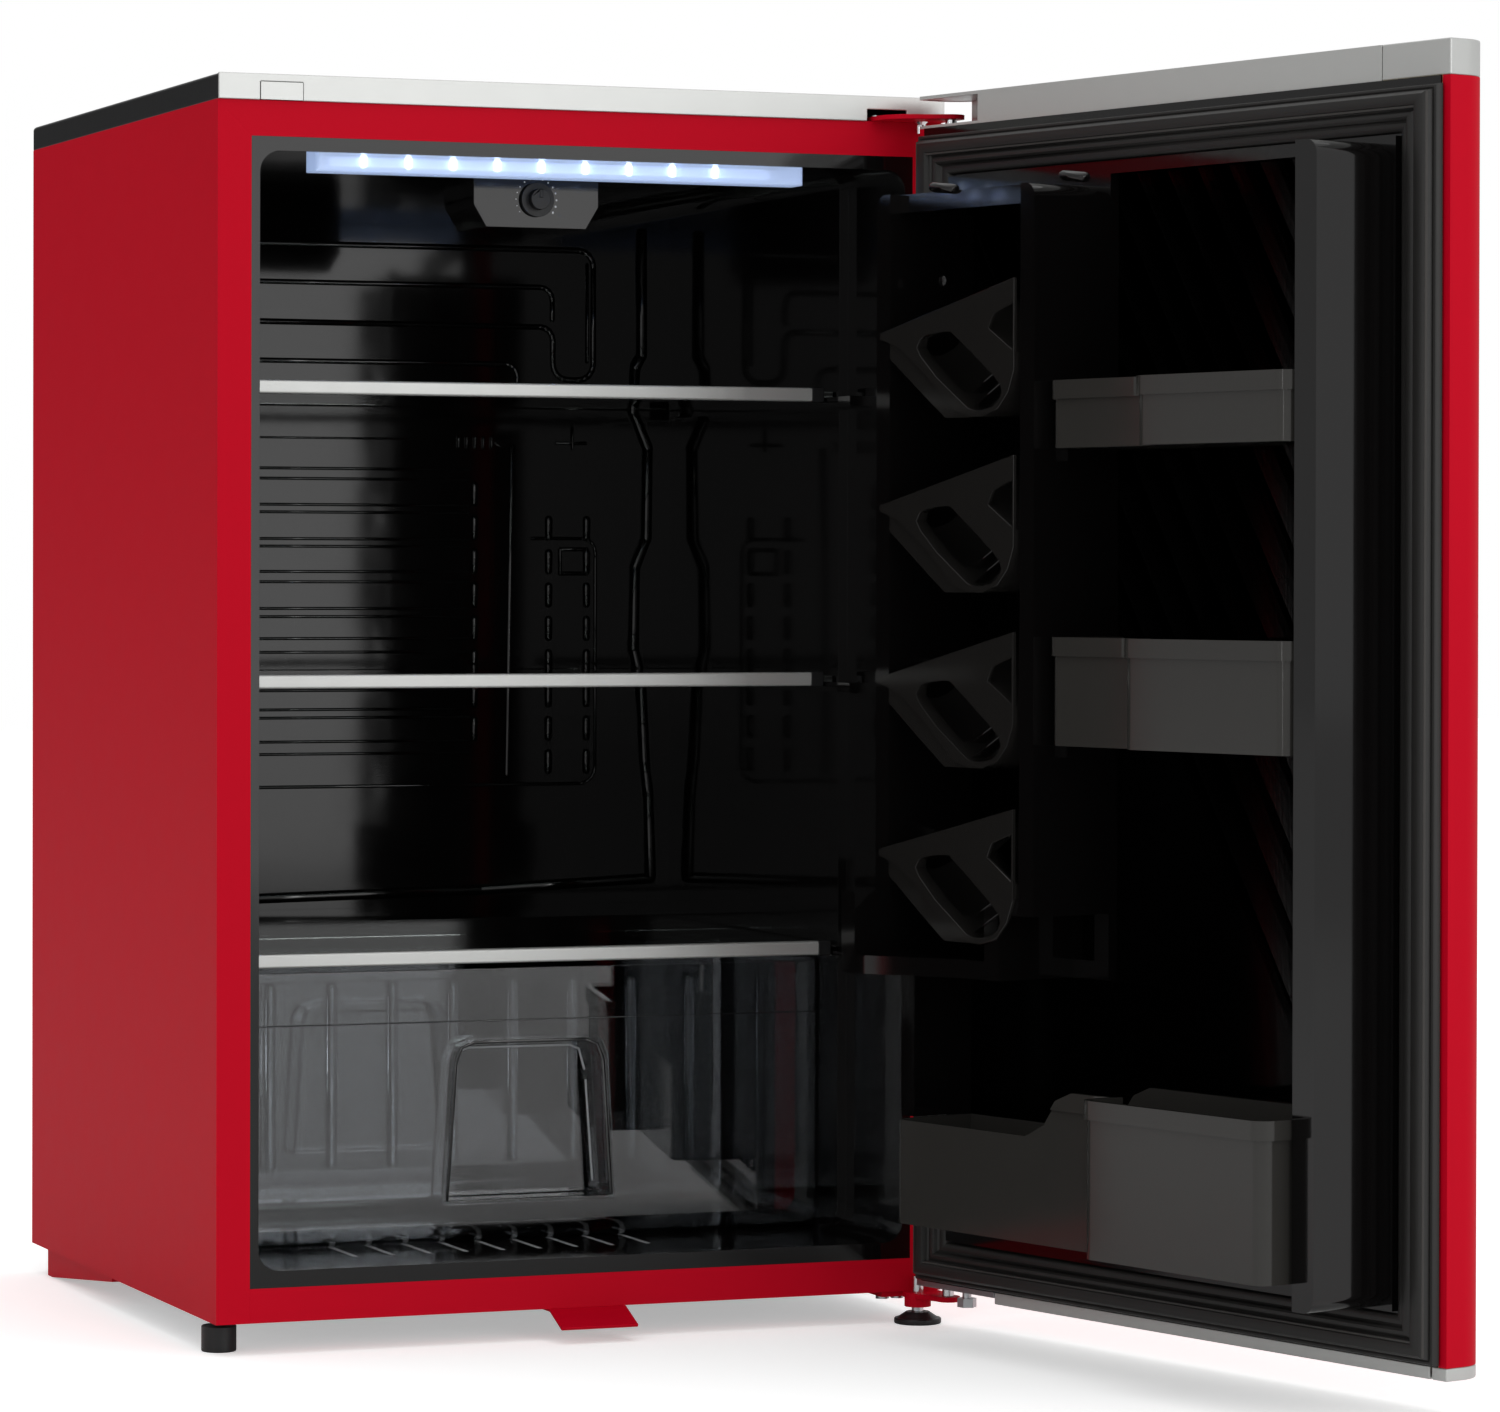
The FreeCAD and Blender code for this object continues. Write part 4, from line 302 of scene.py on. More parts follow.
class FRIDGE_OT_shell(bpy.types.Operator):
    """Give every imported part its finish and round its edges"""

    bl_idname = "fridge.shell"
    bl_label = "Finish the packed parts"

    def execute(self, context):
        sizes = context.scene.fridge_edges
        slots = {entry["node"]: entry["material_slot"] for entry in frame["record"]["subparts"]}
        for name, piece in NODES.items():
            # the can holders are darker than the bins
            material = slot_finish("can_black" if name.startswith("can_holder") else slots[name])
            for slot in piece.material_slots:
                slot.material = material
            if not piece.material_slots:
                piece.data.materials.append(material)
            soften(piece, EDGE.get(name, 0) * MM * sizes.factor, sizes.segments)
        return {"FINISHED"}


# ---- door seal -------------------------------------------------------------------------------

DOOR_TURN = math.radians(104.5)
HINGE = Vector((0.247, -0.033, 0))


def door_to_world():
    """Turns what is drawn on the closed door to the door's place at rest."""
    return (Matrix.Translation(HINGE) @ Matrix.Rotation(DOOR_TURN, 4, "Z") @ Matrix.Translation(-HINGE))


# distance in from the seal's outer edge and height above its seat, both as shares
SEAL_PROFILE = [
    (0.00, 0.02), (0.01, 0.30), (0.04, 0.42), (0.08, 0.45), (0.12, 0.40), (0.14, 0.62), (0.17, 0.86),
    (0.22, 0.97), (0.30, 1.00), (0.38, 0.99), (0.44, 0.93), (0.47, 0.80), (0.49, 0.62), (0.53, 0.55),
    (0.57, 0.62), (0.62, 0.70), (0.68, 0.71), (0.73, 0.64), (0.76, 0.45), (0.80, 0.38), (0.86, 0.40),
    (0.92, 0.36), (0.97, 0.26), (1.00, 0.02),
]


class FRIDGE_OT_seal(bpy.types.Operator):
    """Make the door's magnetic seal: a ridged frame with mitred corners"""

    bl_idname = "fridge.seal"
    bl_label = "Door seal"

    def execute(self, context):
        half, low, top = 0.251, 0.034, 0.802
        side, end = 33.5 * MM, 28 * MM
        seat, height = -11.5 * MM, 10.9 * MM
        mesh = bmesh.new()
        rings = []
        for share, rise in SEAL_PROFILE:
            dx, dz, y = share * side, share * end, seat + rise * height
            corners = ((-half + dx, low + dz), (half - dx, low + dz), (half - dx, top - dz), (-half + dx, top - dz))
            rings.append([mesh.verts.new((x, y, z)) for x, z in corners])
        rings.append([mesh.verts.new((v.co.x, seat, v.co.z)) for v in rings[-1]])
        rings.insert(0, [mesh.verts.new((v.co.x, seat, v.co.z)) for v in rings[0]])
        for ring, inner in zip(rings, rings[1:] + rings[:1]):
            for corner in range(4):
                after = (corner + 1) % 4
                mesh.faces.new((ring[corner], ring[after], inner[after], inner[corner]))
        mesh.transform(door_to_world())
        piece = plain_piece("door_seal", mesh, "gasket", "door", ("door_gasket",))
        soften(piece, 0, weld=False)
        return {"FINISHED"}


# ---- repeated small shapes -------------------------------------------------------------------


def pill_tree():
    """Geometry Nodes: a grid of pills. Each is a ball stretched along its own Z and squashed to be proud
    by a set height, turned, and repeated in two directions."""
    if "Pill Rows" in bpy.data.node_groups:
        return bpy.data.node_groups["Pill Rows"]
    tree = bpy.data.node_groups.new("Pill Rows", "GeometryNodeTree")
    tree.interface.new_socket(name="Geometry", in_out="OUTPUT", socket_type="NodeSocketGeometry")
    for name, kind, value in (
            ("Start", "Vector", (0, 0, 0)), ("Step", "Vector", (0, 0, 0)), ("Count", "Int", 1),
            ("Row Step", "Vector", (0, 0, 0)), ("Rows", "Int", 1), ("Length", "Float", 0.02),
            ("Width", "Float", 0.004), ("Proud", "Float", 0.001), ("Turn", "Vector", (0, 0, 0)),
            ("Segments", "Int", 12), ("Material", "Material", None)):
        socket = tree.interface.new_socket(name=name, in_out="INPUT", socket_type="NodeSocket" + kind)
        if value is not None:
            socket.default_value = value
    nodes, links = tree.nodes, tree.links
    enter, leave = nodes.new("NodeGroupInput"), nodes.new("NodeGroupOutput")
    ball = nodes.new("GeometryNodeMeshUVSphere")
    ball.inputs["Radius"].default_value = 1.0
    ball.inputs["Rings"].default_value = 8
    links.new(enter.outputs["Segments"], ball.inputs["Segments"])

    def maths(operation, first, second=None, third=None):
        node = nodes.new("ShaderNodeMath")
        node.operation = operation
        for index, value in enumerate((first, second, third)):
            if value is None:
                continue
            if isinstance(value, (int, float)):
                node.inputs[index].default_value = value
            else:
                links.new(value, node.inputs[index])
        return node.outputs[0]

    place = nodes.new("GeometryNodeInputPosition")
    part = nodes.new("ShaderNodeSeparateXYZ")
    links.new(place.outputs[0], part.inputs[0])
    half = maths("MULTIPLY", enter.outputs["Width"], 0.5)
    straight = maths("SUBTRACT", maths("MULTIPLY", enter.outputs["Length"], 0.5), half)
    shift = maths("MULTIPLY", maths("SIGN", maths("ADD", part.outputs["Z"], 0.0001)), straight)
    whole = nodes.new("ShaderNodeCombineXYZ")
    links.new(maths("MULTIPLY", part.outputs["X"], half), whole.inputs["X"])
    links.new(maths("MULTIPLY", part.outputs["Y"], enter.outputs["Proud"]), whole.inputs["Y"])
    links.new(maths("MULTIPLY_ADD", part.outputs["Z"], half, shift), whole.inputs["Z"])
    shape = nodes.new("GeometryNodeSetPosition")
    links.new(ball.outputs["Mesh"], shape.inputs["Geometry"])
    links.new(whole.outputs[0], shape.inputs["Position"])
    rows, line = nodes.new("GeometryNodeMeshLine"), nodes.new("GeometryNodeMeshLine")
    links.new(enter.outputs["Start"], rows.inputs["Start Location"])
    links.new(enter.outputs["Row Step"], rows.inputs["Offset"])
    links.new(enter.outputs["Rows"], rows.inputs["Count"])
    links.new(enter.outputs["Step"], line.inputs["Offset"])
    links.new(enter.outputs["Count"], line.inputs["Count"])
    spread = nodes.new("GeometryNodeInstanceOnPoints")
    links.new(rows.outputs["Mesh"], spread.inputs["Points"])
    links.new(line.outputs["Mesh"], spread.inputs["Instance"])
    grid = nodes.new("GeometryNodeRealizeInstances")
    links.new(spread.outputs["Instances"], grid.inputs["Geometry"])
    pills = nodes.new("GeometryNodeInstanceOnPoints")
    links.new(grid.outputs["Geometry"], pills.inputs["Points"])
    links.new(shape.outputs["Geometry"], pills.inputs["Instance"])
    links.new(enter.outputs["Turn"], pills.inputs["Rotation"])
    real = nodes.new("GeometryNodeRealizeInstances")
    links.new(pills.outputs["Instances"], real.inputs["Geometry"])
    smooth = nodes.new("GeometryNodeSetShadeSmooth")
    links.new(real.outputs["Geometry"], smooth.inputs["Geometry"])
    paint = nodes.new("GeometryNodeSetMaterial")
    links.new(smooth.outputs["Geometry"], paint.inputs["Geometry"])
    links.new(enter.outputs["Material"], paint.inputs["Material"])
    links.new(paint.outputs["Geometry"], leave.inputs[0])
    return tree


def grown(tree, values):
    """The plain mesh that a node tree gives with these inputs."""
    host = bpy.data.objects.new("host", bpy.data.meshes.new("host"))
    bpy.context.scene.collection.objects.link(host)
    modifier = host.modifiers.new("Grow", "NODES")
    modifier.node_group = tree
    sockets = {item.name: item.identifier for item in tree.interface.items_tree
               if getattr(item, "in_out", "") == "INPUT"}
    for name, value in values.items():
        modifier[sockets[name]] = value
    host.update_tag()
    mesh = bpy.data.meshes.new_from_object(host.evaluated_get(bpy.context.evaluated_depsgraph_get()))
    bpy.data.objects.remove(host)
    return mesh


LENGTHS = ("Start", "Step", "Row Step", "Length", "Width", "Proud")


def pill_rows(name, slot, body, rows, turned=None):
    """One piece made of one or more rows of pills. Sizes in millimetres; slot may also be a material."""
    whole = bmesh.new()
    material = slot if isinstance(slot, bpy.types.Material) else slot_finish(slot)
    for row in rows:
        values = {"Material": material}
        for key, value in row.items():
            factor = MM if key in LENGTHS else 1
            values[key] = [v * factor for v in value] if isinstance(value, tuple) else value * factor
        mesh = grown(pill_tree(), values)
        whole.from_mesh(mesh)
        bpy.data.meshes.remove(mesh)
    if turned is not None:
        whole.transform(turned)
    mesh = bpy.data.meshes.new(name)
    whole.to_mesh(mesh)
    whole.free()
    mesh.materials.append(material)
    for face in mesh.polygons:
        face.use_smooth = True
    piece = plain_piece(name, mesh, None, body)
    return piece


def stroke(first, last, width, proud, out):
    """A pill from one point to the next, standing out of its surface along out. Millimetres."""
    first, last, out = Vector(first), Vector(last), Vector(out)
    along = (last - first).normalized()
    turn = Matrix((out.cross(along), out, along)).transposed().to_euler()
    return {"Start": tuple((first + last) / 2), "Length": (last - first).length + width, "Width": width,
            "Proud": proud, "Turn": tuple(turn)}


def strokes(points, width, proud, out):
    """Pills end to end along a line of points."""
    return [stroke(first, last, width, proud, out) for first, last in zip(points, points[1:])]


REAR_WALL = 425.6
REAR_OUT = (0, -1, 0)
LEFT_END = -226


def on_rear(points, width=4.5, proud=1.9, depth=REAR_WALL):
    """A raised line on the rear wall, from (across, height) points."""
    return strokes([(x, depth, z) for x, z in points], width, proud, REAR_OUT)


def arc(x, z, radius, first, last, steps=4):
    """Points of an arc in a wall, degrees from +X towards +Z."""
    turns = [math.radians(first + (last - first) * step / steps) for step in range(steps + 1)]
    return [(x + radius * math.cos(turn), z + radius * math.sin(turn)) for turn in turns]


class FRIDGE_OT_back_ribs(bpy.types.Operator):
    """Press the cooling panel's ribs, pills and loop into the liner's rear wall"""

    bl_idname = "fridge.back_ribs"
    bl_label = "Rear wall relief"

    def execute(self, context):
        # the evaporator's outline and the loop at its end
        loop = [(LEFT_END, 748.5), *arc(148, 736.5, 12, 90, 0), *arc(148, 664, 12, 0, -90),
                *arc(140, 664, 12, -90, -180), *arc(118, 681, 10, 0, 90), (LEFT_END, 691.5)]
        rows = on_rear(loop, 5, 2.2)
        rows += on_rear([(LEFT_END, 720.5), *arc(118, 711, 9.5, 90, 0), (127.5, 697)], 4.5, 2)
        rows += on_rear([(LEFT_END, 663), *arc(91, 654, 9, 90, 0), (100, 650)], 4.5, 2)
        rows += on_rear([(155, 738), (155, 666)], 3, 2.6)
        # flat bands between the shelves, each a pair of lines
        for band in ((584.5, 577), (558, 552.5), (533, 527.5), (509, 501.5), (482, 476), (460, 450),
                     (430, 422), (408, 402), (384.5, 375.5)):
            for height in band:
                rows += on_rear([(LEFT_END, height), (62, height)], 2.6, 1.7)
        rows += on_rear([(LEFT_END, 606.8), (48, 606.8)], 2, 1.4)
        rows += on_rear([(LEFT_END, 351.5), *arc(150, 363.5, 12, -90, 0), (162, 520), *arc(152, 524, 10, 0, 90),
                         (112, 534)], 3, 1.8)
        rows += on_rear([(96, 601), (92.5, 359)], 6, 2.6)
        rows += on_rear([(134, 508), (134, 526), (155, 526), (155, 508), (134, 508)], 3.5, 2.4)
        fingers = {"Start": (54, REAR_WALL, 604.5), "Step": (6.4, 0, 0), "Count": 5, "Length": 10, "Width": 3,
                   "Proud": 2.4}
        rows += [fingers, *on_rear([(88, 608), (82, 604.5), (88, 601)], 2.4, 2.2)]
        rows += on_rear([(143.5, 616), (143.5, 601)], 3, 2.6) + on_rear([(131, 605), (154, 605)], 3, 2.2)
        for across, low in ((66.5, 393), (125, 368), (155, 368)):
            rows.append({"Start": (across, REAR_WALL, low), "Step": (0, 0, 24.8), "Count": 8, "Length": 19,
                         "Width": 6.5, "Proud": 3})
        pill_rows("back_wall_ribs", "liner_black", "cabinet", rows)

        # the cove where the rear wall meets the right wall, and the low crease above the step
        cove = [(198, 762), (198, 671), (193, 662), (191, 629), (203, 602), (202, 534), (193, 513), (192, 452),
                (198, 428), (201, 367), (204, 343), (206, 282)]
        crease = [(LEFT_END, 268), (70, 274), (206, 280)]
        sunk = REAR_WALL - 1.1
        pill_rows("back_wall_cove", "liner_black", "cabinet",
                  on_rear(cove, 9, 5, sunk) + on_rear(crease, 8, 4, sunk)
                  + on_rear([(LEFT_END, 260), (60, 259)], 4, 2))
        return {"FINISHED"}


SIDE_WALL = 229.3


def on_side(points, side, width=3.5, proud=1.6):
    """A raised line on a side wall, from (depth, height) points; side is 1 for the right wall."""
    return strokes([(side * SIDE_WALL, y, z) for y, z in points], width, proud, (-side, 0, 0))


class FRIDGE_OT_side_relief(bpy.types.Operator):
    """Mould the panels, bosses and ledge lines of the liner's side walls"""

    bl_idname = "fridge.side_relief"
    bl_label = "Side wall relief"

    def execute(self, context):
        for side, name in ((1, "right"), (-1, "left")):
            rows = on_side([(333, 737), (333, 676), (397, 672), (415, 672)], side)
            rows += on_side([(415, 741), (333, 737), (130, 724)], side)
            rows += on_side([(262, 705), (255, 668), (275, 651)], side, 5, 2.4)
            rows += on_side([(387, 524), (387, 584), (290, 584), (275, 585), (262, 594), (150, 592)], side)
            rows += on_side([(310, 546), (300, 555), (279, 555), (240, 534)], side)
            rows += on_side([(72, 684), (72, 690), (89, 690), (89, 684), (72, 684)], side, 3, 1.8)
            for y, z in ((284.4, 462.5), (213, 463), (284, 415), (211.5, 416), (235, 533), (168, 556)):
                rows += on_side([(y, z - 0.5), (y, z + 0.5)], side, 6, 2.4)
            rows += on_side([(410, 266), (410, 273), (322, 276), (212, 275.6), (226, 266), (410, 265)], side, 3, 2)
            pill_rows(f"side_relief_{name}", "liner_black", "cabinet", rows)
        return {"FINISHED"}


class FRIDGE_OT_floor_bars(bpy.types.Operator):
    """Lay the raised bars on the compartment's floor under the drawer, coloured light grey as a painted highlight on
    the black floor
    """

    bl_idname = "fridge.floor_bars"
    bl_label = "Floor bars"

    def execute(self, context):
        # the bars are raised; their light grey is a painted highlight for the light they catch
        bar = finish("floor_bar", linear(140, 141, 142), 0.22, grain=0.0)
        rows = []
        first, floor = -144, 54.35
        for near, far in ((56, 90), (94, 122)):
            row = stroke((first, near, floor), (first, far, floor), 4.5, 0.4, (0, 0, 1))
            rows.append({**row, "Step": (26, 0, 0), "Count": 9})
        pill_rows("floor_bars", bar, "cabinet", rows)
        return {"FINISHED"}


class FRIDGE_OT_dial(bpy.types.Operator):
    """Print the ring of dots round the thermostat's knob"""

    bl_idname = "fridge.dial"
    bl_label = "Dial marks"

    def execute(self, context):
        ink = finish("dial_ink", linear(225, 225, 225), 0.5)
        count, radius, face, axle = 15, 14.6, 104.95, 762
        dots = []
        for number in range(count):
            share = number / (count - 1)
            angle = math.radians(-125 + 250 * share)
            size = 0.7 + 0.9 * share
            dots.append(dict(Start=(radius * math.sin(angle), face, axle + radius * math.cos(angle)),
                             Length=size, Width=size * 0.99, Proud=0.12))
        pill_rows("dial_dots", ink, "cabinet", dots)
        return {"FINISHED"}


class FRIDGE_OT_lamps(bpy.types.Operator):
    """Light the row of LEDs behind the lens"""

    bl_idname = "fridge.lamps"
    bl_label = "LED row"

    def execute(self, context):
        look = context.scene.fridge_lamp
        lit = glow("led_light", list(look.color), look.strength)
        row = stroke((-140, 53.5, 778.5), (-140, 53.5, 782.5), 5, 1.2, (0, -1, 0))
        pill_rows("led_lights", lit, "cabinet", [{**row, "Step": (31.3, 0, 0), "Count": 9}])
        haze = glow("led_haze", list(look.color), look.haze)
        pill_rows("led_haze_strip", haze, "cabinet",
                  [stroke((-160, 55.5, 780), (148, 55.5, 780), 7, 1.0, (0, -1, 0))])
        return {"FINISHED"}


class FRIDGE_OT_drawer_ribs(bpy.types.Operator):
    """Mould the upright ribs, the rim line and the grip's outline on the drawer. The rim line and the grip's outline
    are near black, as painted shade, and a light line inside the grip is a painted highlight.
    """

    bl_idname = "fridge.drawer_ribs"
    bl_label = "Drawer relief"

    def execute(self, context):
        rib = stroke((-180, 277.6, 92), (-180, 277.6, 215), 8, 2.2, (0, -1, 0))
        pill_rows("drawer_ribs", "smoked_clear", "drawer", [{**rib, "Step": (45, 0, 0), "Count": 9}])
        # rim line and grip outline: raised a little, coloured near black as painted shade along the rim and the grip's
        # edge
        edge = finish("drawer_edge_painted_shade", linear(22, 23, 24), 0.12, grain=0.0)
        front, grip_back, out = 95.1, 118.6, (0, -1, 0)
        outline = [(x, front, z) for x, z in ((-66, 85), (-60, 177), (-56, 187), (-47, 190.5),
                                              (33, 190.5), (42, 187), (46, 177), (52, 85))]
        pill_rows("drawer_rim_painted_shade", edge, "drawer",
                  [stroke((-206, front, 205), (206, front, 205), 0.9, 0.35, out), *strokes(outline, 2.4, 0.5, out)])
        # light grey lines inside the grip and down its edge: painted highlight
        light = finish("drawer_painted_highlight", linear(150, 152, 155), 0.15, grain=0.0)
        inner = [(x, grip_back, z) for x, z in ((-55, 168), (-51, 182), (-44, 185), (30, 185), (37, 182), (41, 168))]
        edge_down = stroke((42, grip_back, 160), (47, grip_back, 92), 1.6, 0.4, out)
        pill_rows("drawer_grip_painted_highlight", light, "drawer", [*strokes(inner, 1.6, 0.4, out), edge_down])
        return {"FINISHED"}


class FRIDGE_OT_shelf_caps(bpy.types.Operator):
    """Slip a black cap over each end of the three shelf trims"""

    bl_idname = "fridge.shelf_caps"
    bl_label = "Shelf trim caps"

    def execute(self, context):
        for node, body in (("upper_shelf_trim", "upper_shelf"), ("middle_shelf_trim", "middle_shelf"),
                           ("crisper_cover_trim", "crisper_cover")):
            low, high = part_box(node)
            grow, length = 0.35 * MM, 9 * MM
            caps = bmesh.new()
            for near, far in ((low.x - grow, low.x + length), (high.x - length, high.x + grow)):
                corners = ((near, far), (low.y - grow, high.y + 4 * MM), (low.z - grow, high.z + grow))
                middle = [sum(pair) / 2 for pair in corners]
                size = [pair[1] - pair[0] for pair in corners]
                place = Matrix.Translation(middle) @ Matrix.Diagonal((*size, 1))
                bmesh.ops.create_cube(caps, size=1, matrix=place)
            piece = plain_piece(f"{body}_caps", caps, "black_plastic", body)
            soften(piece, 0.8 * MM, weld=False)
        return {"FINISHED"}


CAN_TOP, CAN_PITCH, CAN_MIDDLE = 666, 113, 52


class FRIDGE_OT_can_ribs(bpy.types.Operator):
    """Set the two thin ribs across the low end of each can holder"""

    bl_idname = "fridge.can_ribs"
    bl_label = "Can holder ribs"

    def execute(self, context):
        rows = []
        for number in range(4):
            tip = CAN_TOP - CAN_PITCH * number
            for rib in (((110, -40.5), (88.5, -29.8)), ((108.3, -50), (82, -36.4))):
                rows += strokes([(x, CAN_MIDDLE, tip + z) for x, z in rib], 1.6, 7, (0, 1, 0))
        pill_rows("can_holder_ribs", "liner_black", "door", rows, door_to_world())
        return {"FINISHED"}


class FRIDGE_OT_door_relief(bpy.types.Operator):
    """Mould the clips on the door's inner face"""

    bl_idname = "fridge.door_relief"
    bl_label = "Door liner relief"

    def execute(self, context):
        rows = []
        for across in (18, 150):
            rows.append(stroke((across - 9, 50, 758), (across + 9, 50, 760), 7, 5, (0, 1, 0)))
        rows.append({"Start": (176, 30, 700), "Length": 9, "Width": 8.9, "Proud": 2})
        pill_rows("door_liner_relief", "liner_black", "door", rows, door_to_world())
        return {"FINISHED"}


# ---- stage -----------------------------------------------------------------------------------


def area_light(name, place, target, size, power):
    """A rectangular studio lamp aimed at a point."""
    light = bpy.data.lights.new(name, "AREA")
    light.shape = "RECTANGLE"
    light.size, light.size_y = size
    light.energy = power
    lamp = bpy.data.objects.new(name, light)
    lamp.location = place
    lamp.rotation_euler = (Vector(target) - Vector(place)).to_track_quat("-Z", "Y").to_euler()
    bpy.context.scene.collection.objects.link(lamp)


def brighten(material, strength):
    """Lift a paper towards white where it is seen directly, without lighting what stands on it."""
    nodes, links = material.node_tree.nodes, material.node_tree.links
    sight, lift = nodes.new("ShaderNodeLightPath"), nodes.new("ShaderNodeMath")
    lift.operation = "MULTIPLY"
    lift.inputs[1].default_value = strength
    links.new(sight.outputs["Is Camera Ray"], lift.inputs[0])
    links.new(lift.outputs[0], nodes["Principled BSDF"].inputs["Emission Strength"])


FLAG_TOWARD, FLAG_DARKNESS = (-0.365, 0.931, 0.0), 0.08
BRIGHT_TOWARD = (0.2, -0.95, 0.15)


def studio(fill):
    """White surroundings, brightest to the front, with one dark flag behind on the left, and
    pure white to the eye."""
    world = bpy.data.worlds.new("studio")
    world.use_nodes = True
    nodes, links = world.node_tree.nodes, world.node_tree.links
    place = nodes.new("ShaderNodeTexCoord")

    def lobe(toward, near, far, low, high):
        """Goes from low to high as the view swings to a direction, between two values of its cosine."""
        cosine, lift = nodes.new("ShaderNodeVectorMath"), nodes.new("ShaderNodeMapRange")
        cosine.operation = "DOT_PRODUCT"
        cosine.inputs[1].default_value = toward
        links.new(place.outputs["Generated"], cosine.inputs[0])
        for socket, value in (("From Min", near), ("From Max", far), ("To Min", low), ("To Max", high)):
            lift.inputs[socket].default_value = value
        links.new(cosine.outputs["Value"], lift.inputs["Value"])
        return lift.outputs["Result"]

    shade = nodes.new("ShaderNodeMath")
    shade.operation = "MULTIPLY"
    links.new(lobe(FLAG_TOWARD, 0.86, 0.95, fill, fill * FLAG_DARKNESS), shade.inputs[0])
    links.new(lobe(BRIGHT_TOWARD, -1.0, 1.0, 0.55, 1.2), shade.inputs[1])
    sight, choose = nodes.new("ShaderNodeLightPath"), nodes.new("ShaderNodeMix")
    links.new(sight.outputs["Is Camera Ray"], choose.inputs["Factor"])
    links.new(shade.outputs[0], choose.inputs["A"])
    choose.inputs["B"].default_value = 1.0
    sky = nodes["Background"]
    sky.inputs["Color"].default_value = (1, 1, 1, 1)
    links.new(choose.outputs["Result"], sky.inputs["Strength"])
    return world


CAMERA_PLACE = (-1.2595, -3.4072, 0.5059)
CAMERA_YAW, CAMERA_PITCH, CAMERA_ROLL = (math.radians(turn) for turn in (21.449, -0.454, 0.128))
CAMERA_LENS, CAMERA_SHIFT = 131.47, (0.0333, -0.0573)


def add_camera():
    """A camera at its place, turned by its yaw, pitch and roll."""
    camera = bpy.data.cameras.new("camera")
    camera.sensor_width = 36
    camera.lens = CAMERA_LENS
    camera.shift_x, camera.shift_y = CAMERA_SHIFT
    camera.clip_end = 60
    eye = bpy.data.objects.new("camera", camera)
    yaw, pitch, roll = CAMERA_YAW, CAMERA_PITCH, CAMERA_ROLL
    ahead = Vector((math.sin(yaw) * math.cos(pitch), math.cos(yaw) * math.cos(pitch), math.sin(pitch)))
    right = Vector((math.cos(yaw), -math.sin(yaw), 0))
    up = right.cross(ahead)
    across = math.cos(roll) * right + math.sin(roll) * up
    above = -math.sin(roll) * right + math.cos(roll) * up
    turn = Matrix((across, above, -ahead)).transposed()
    eye.matrix_world = Matrix.Translation(CAMERA_PLACE) @ turn.to_4x4()
    bpy.context.scene.collection.objects.link(eye)
    return eye


class FRIDGE_OT_stage(bpy.types.Operator):
    """Set the floor, the lights and the camera"""

    bl_idname = "fridge.stage"
    bl_label = "Stage"

    def execute(self, context):
        look = context.scene.fridge_stage
        floor = bmesh.new()
        bmesh.ops.create_grid(floor, x_segments=1, y_segments=1, size=14)
        mesh = bpy.data.meshes.new("floor")
        floor.to_mesh(mesh)
        floor.free()
        ground = bpy.data.objects.new("floor", mesh)
        paper = finish("floor_paper", list(look.floor), 0.8, tone=0.0, grain=0.0, Specular_IOR_Level=0.1,
                       Emission_Color=(1, 1, 1, 1))
        brighten(paper, look.paper_glow)
        mesh.materials.append(paper)
        context.scene.collection.objects.link(ground)
        context.scene.world = studio(look.fill)
        area_light("front_right", (2.0, -4.3, 1.15), (0.1, 0, 0.45), (3.2, 2.3), look.key)
        area_light("overhead", (0.1, 0.1, 3.0), (0, 0, 0.3), (3.0, 3.0), look.key * 0.7)
        # narrow strips draw the bright lines along rounded edges
        for name, place in (("strip_left", (-2.9, -2.2, 1.3)), ("strip_front", (0.55, -4.6, 1.4))):
            area_light(name, place, (0.15, -0.1, 0.5), (0.12, 2.2), look.key * look.strips)
        context.scene.camera = add_camera()
        context.scene.view_settings.view_transform = "Standard"
        return {"FINISHED"}


# ---- settings and panel ----------------------------------------------------------------------


class EdgeSettings(bpy.types.PropertyGroup):
    factor: bpy.props.FloatProperty(
        name="Edge rounding", description="How round the edges are, as a share of their own radius",
        default=1.0, min=0.0, max=1.5, subtype="FACTOR")
    segments: bpy.props.IntProperty(
        name="Edge segments", description="Facets across a rounded edge", default=3, min=1, max=6)


class LampSettings(bpy.types.PropertyGroup):
    color: bpy.props.FloatVectorProperty(
        name="Light colour", description="Colour of the LEDs", default=(0.62, 0.74, 1.0), subtype="COLOR")
    strength: bpy.props.FloatProperty(
        name="LED strength", description="Brightness of each LED", default=14.0, min=0.0)
    haze: bpy.props.FloatProperty(
        name="Lens glow", description="Brightness of the lens between the LEDs", default=1.1, min=0.0)


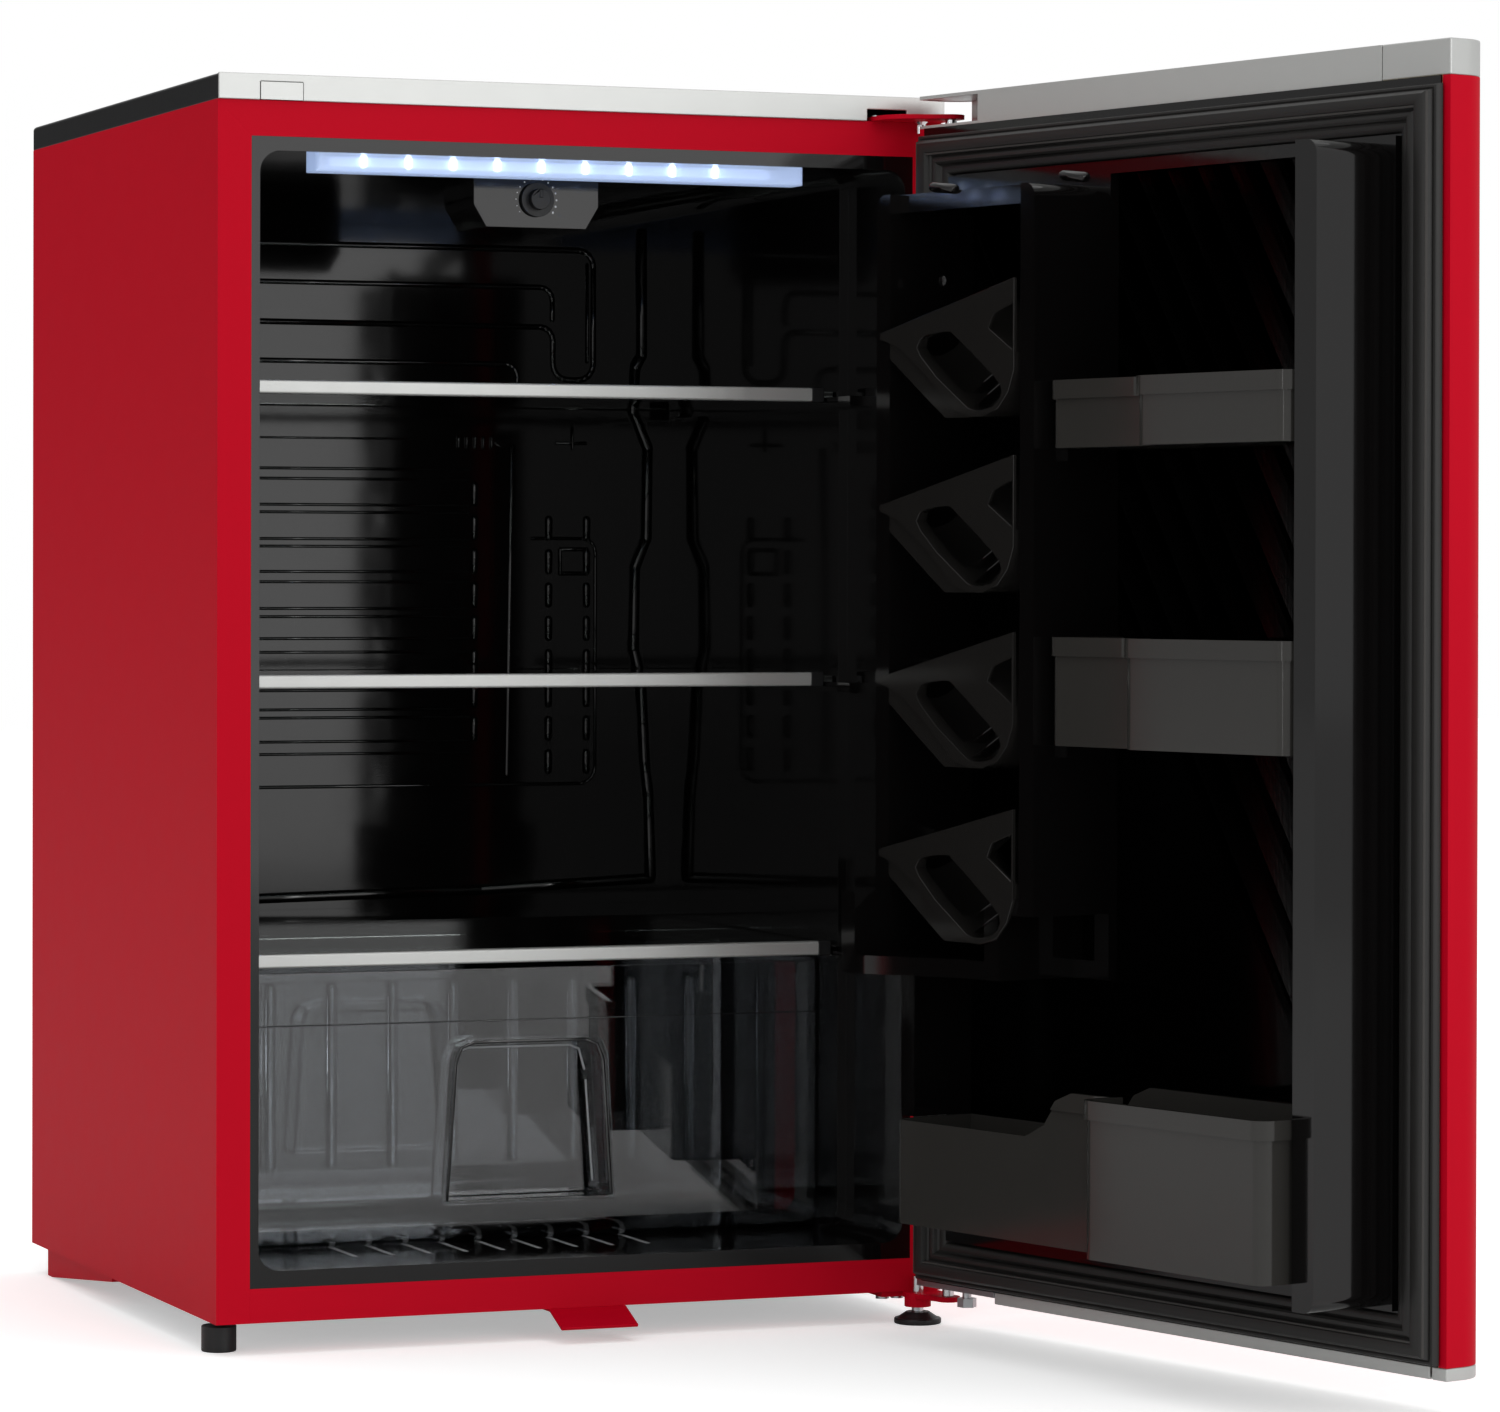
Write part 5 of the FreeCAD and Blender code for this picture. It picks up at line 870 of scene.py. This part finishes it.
class StageSettings(bpy.types.PropertyGroup):
    floor: bpy.props.FloatVectorProperty(
        name="Floor colour", description="Colour of the paper floor", default=(0.9, 0.9, 0.9), subtype="COLOR")
    paper_glow: bpy.props.FloatProperty(
        name="Paper glow", description="How much the floor paper is lifted towards white", default=0.4, min=0.0)
    fill: bpy.props.FloatProperty(
        name="Fill", description="Strength of the white surroundings", default=0.85, min=0.0)
    strips: bpy.props.FloatProperty(
        name="Strip share", description="Power of each narrow strip, as a share of the main light's",
        default=0.15, min=0.0, subtype="FACTOR")
    key: bpy.props.FloatProperty(
        name="Key power", description="Power of the main light", default=40.0, min=0.0, subtype="POWER",
        unit="POWER")


OPERATORS = [FRIDGE_OT_shell, FRIDGE_OT_seal, FRIDGE_OT_back_ribs, FRIDGE_OT_side_relief, FRIDGE_OT_floor_bars,
             FRIDGE_OT_dial, FRIDGE_OT_lamps, FRIDGE_OT_drawer_ribs, FRIDGE_OT_shelf_caps, FRIDGE_OT_can_ribs,
             FRIDGE_OT_door_relief, FRIDGE_OT_stage]


class FRIDGE_PT_panel(bpy.types.Panel):
    """Lists the pieces and their settings"""

    bl_idname = "FRIDGE_PT_panel"
    bl_label = "Compact refrigerator"
    bl_space_type = "VIEW_3D"
    bl_region_type = "UI"
    bl_category = "Fridge"

    def draw(self, context):
        for group in (context.scene.fridge_edges, context.scene.fridge_lamp, context.scene.fridge_stage):
            for name in group.__annotations__:
                self.layout.prop(group, name)
        for operator in OPERATORS:
            self.layout.operator(operator.bl_idname)


SETTINGS = {"fridge_edges": EdgeSettings, "fridge_lamp": LampSettings, "fridge_stage": StageSettings}
CLASSES = [*SETTINGS.values(), *OPERATORS, FRIDGE_PT_panel]


def register():
    for item in CLASSES:
        bpy.utils.register_class(item)
    for name, settings in SETTINGS.items():
        setattr(bpy.types.Scene, name, bpy.props.PointerProperty(type=settings))


def unregister():
    for name in SETTINGS:
        delattr(bpy.types.Scene, name)
    for item in reversed(CLASSES):
        bpy.utils.unregister_class(item)


def main():
    register()
    for operator in OPERATORS:
        group, name = operator.bl_idname.split(".")
        getattr(getattr(bpy.ops, group), name)()


if __name__ == "__main__":
    main()
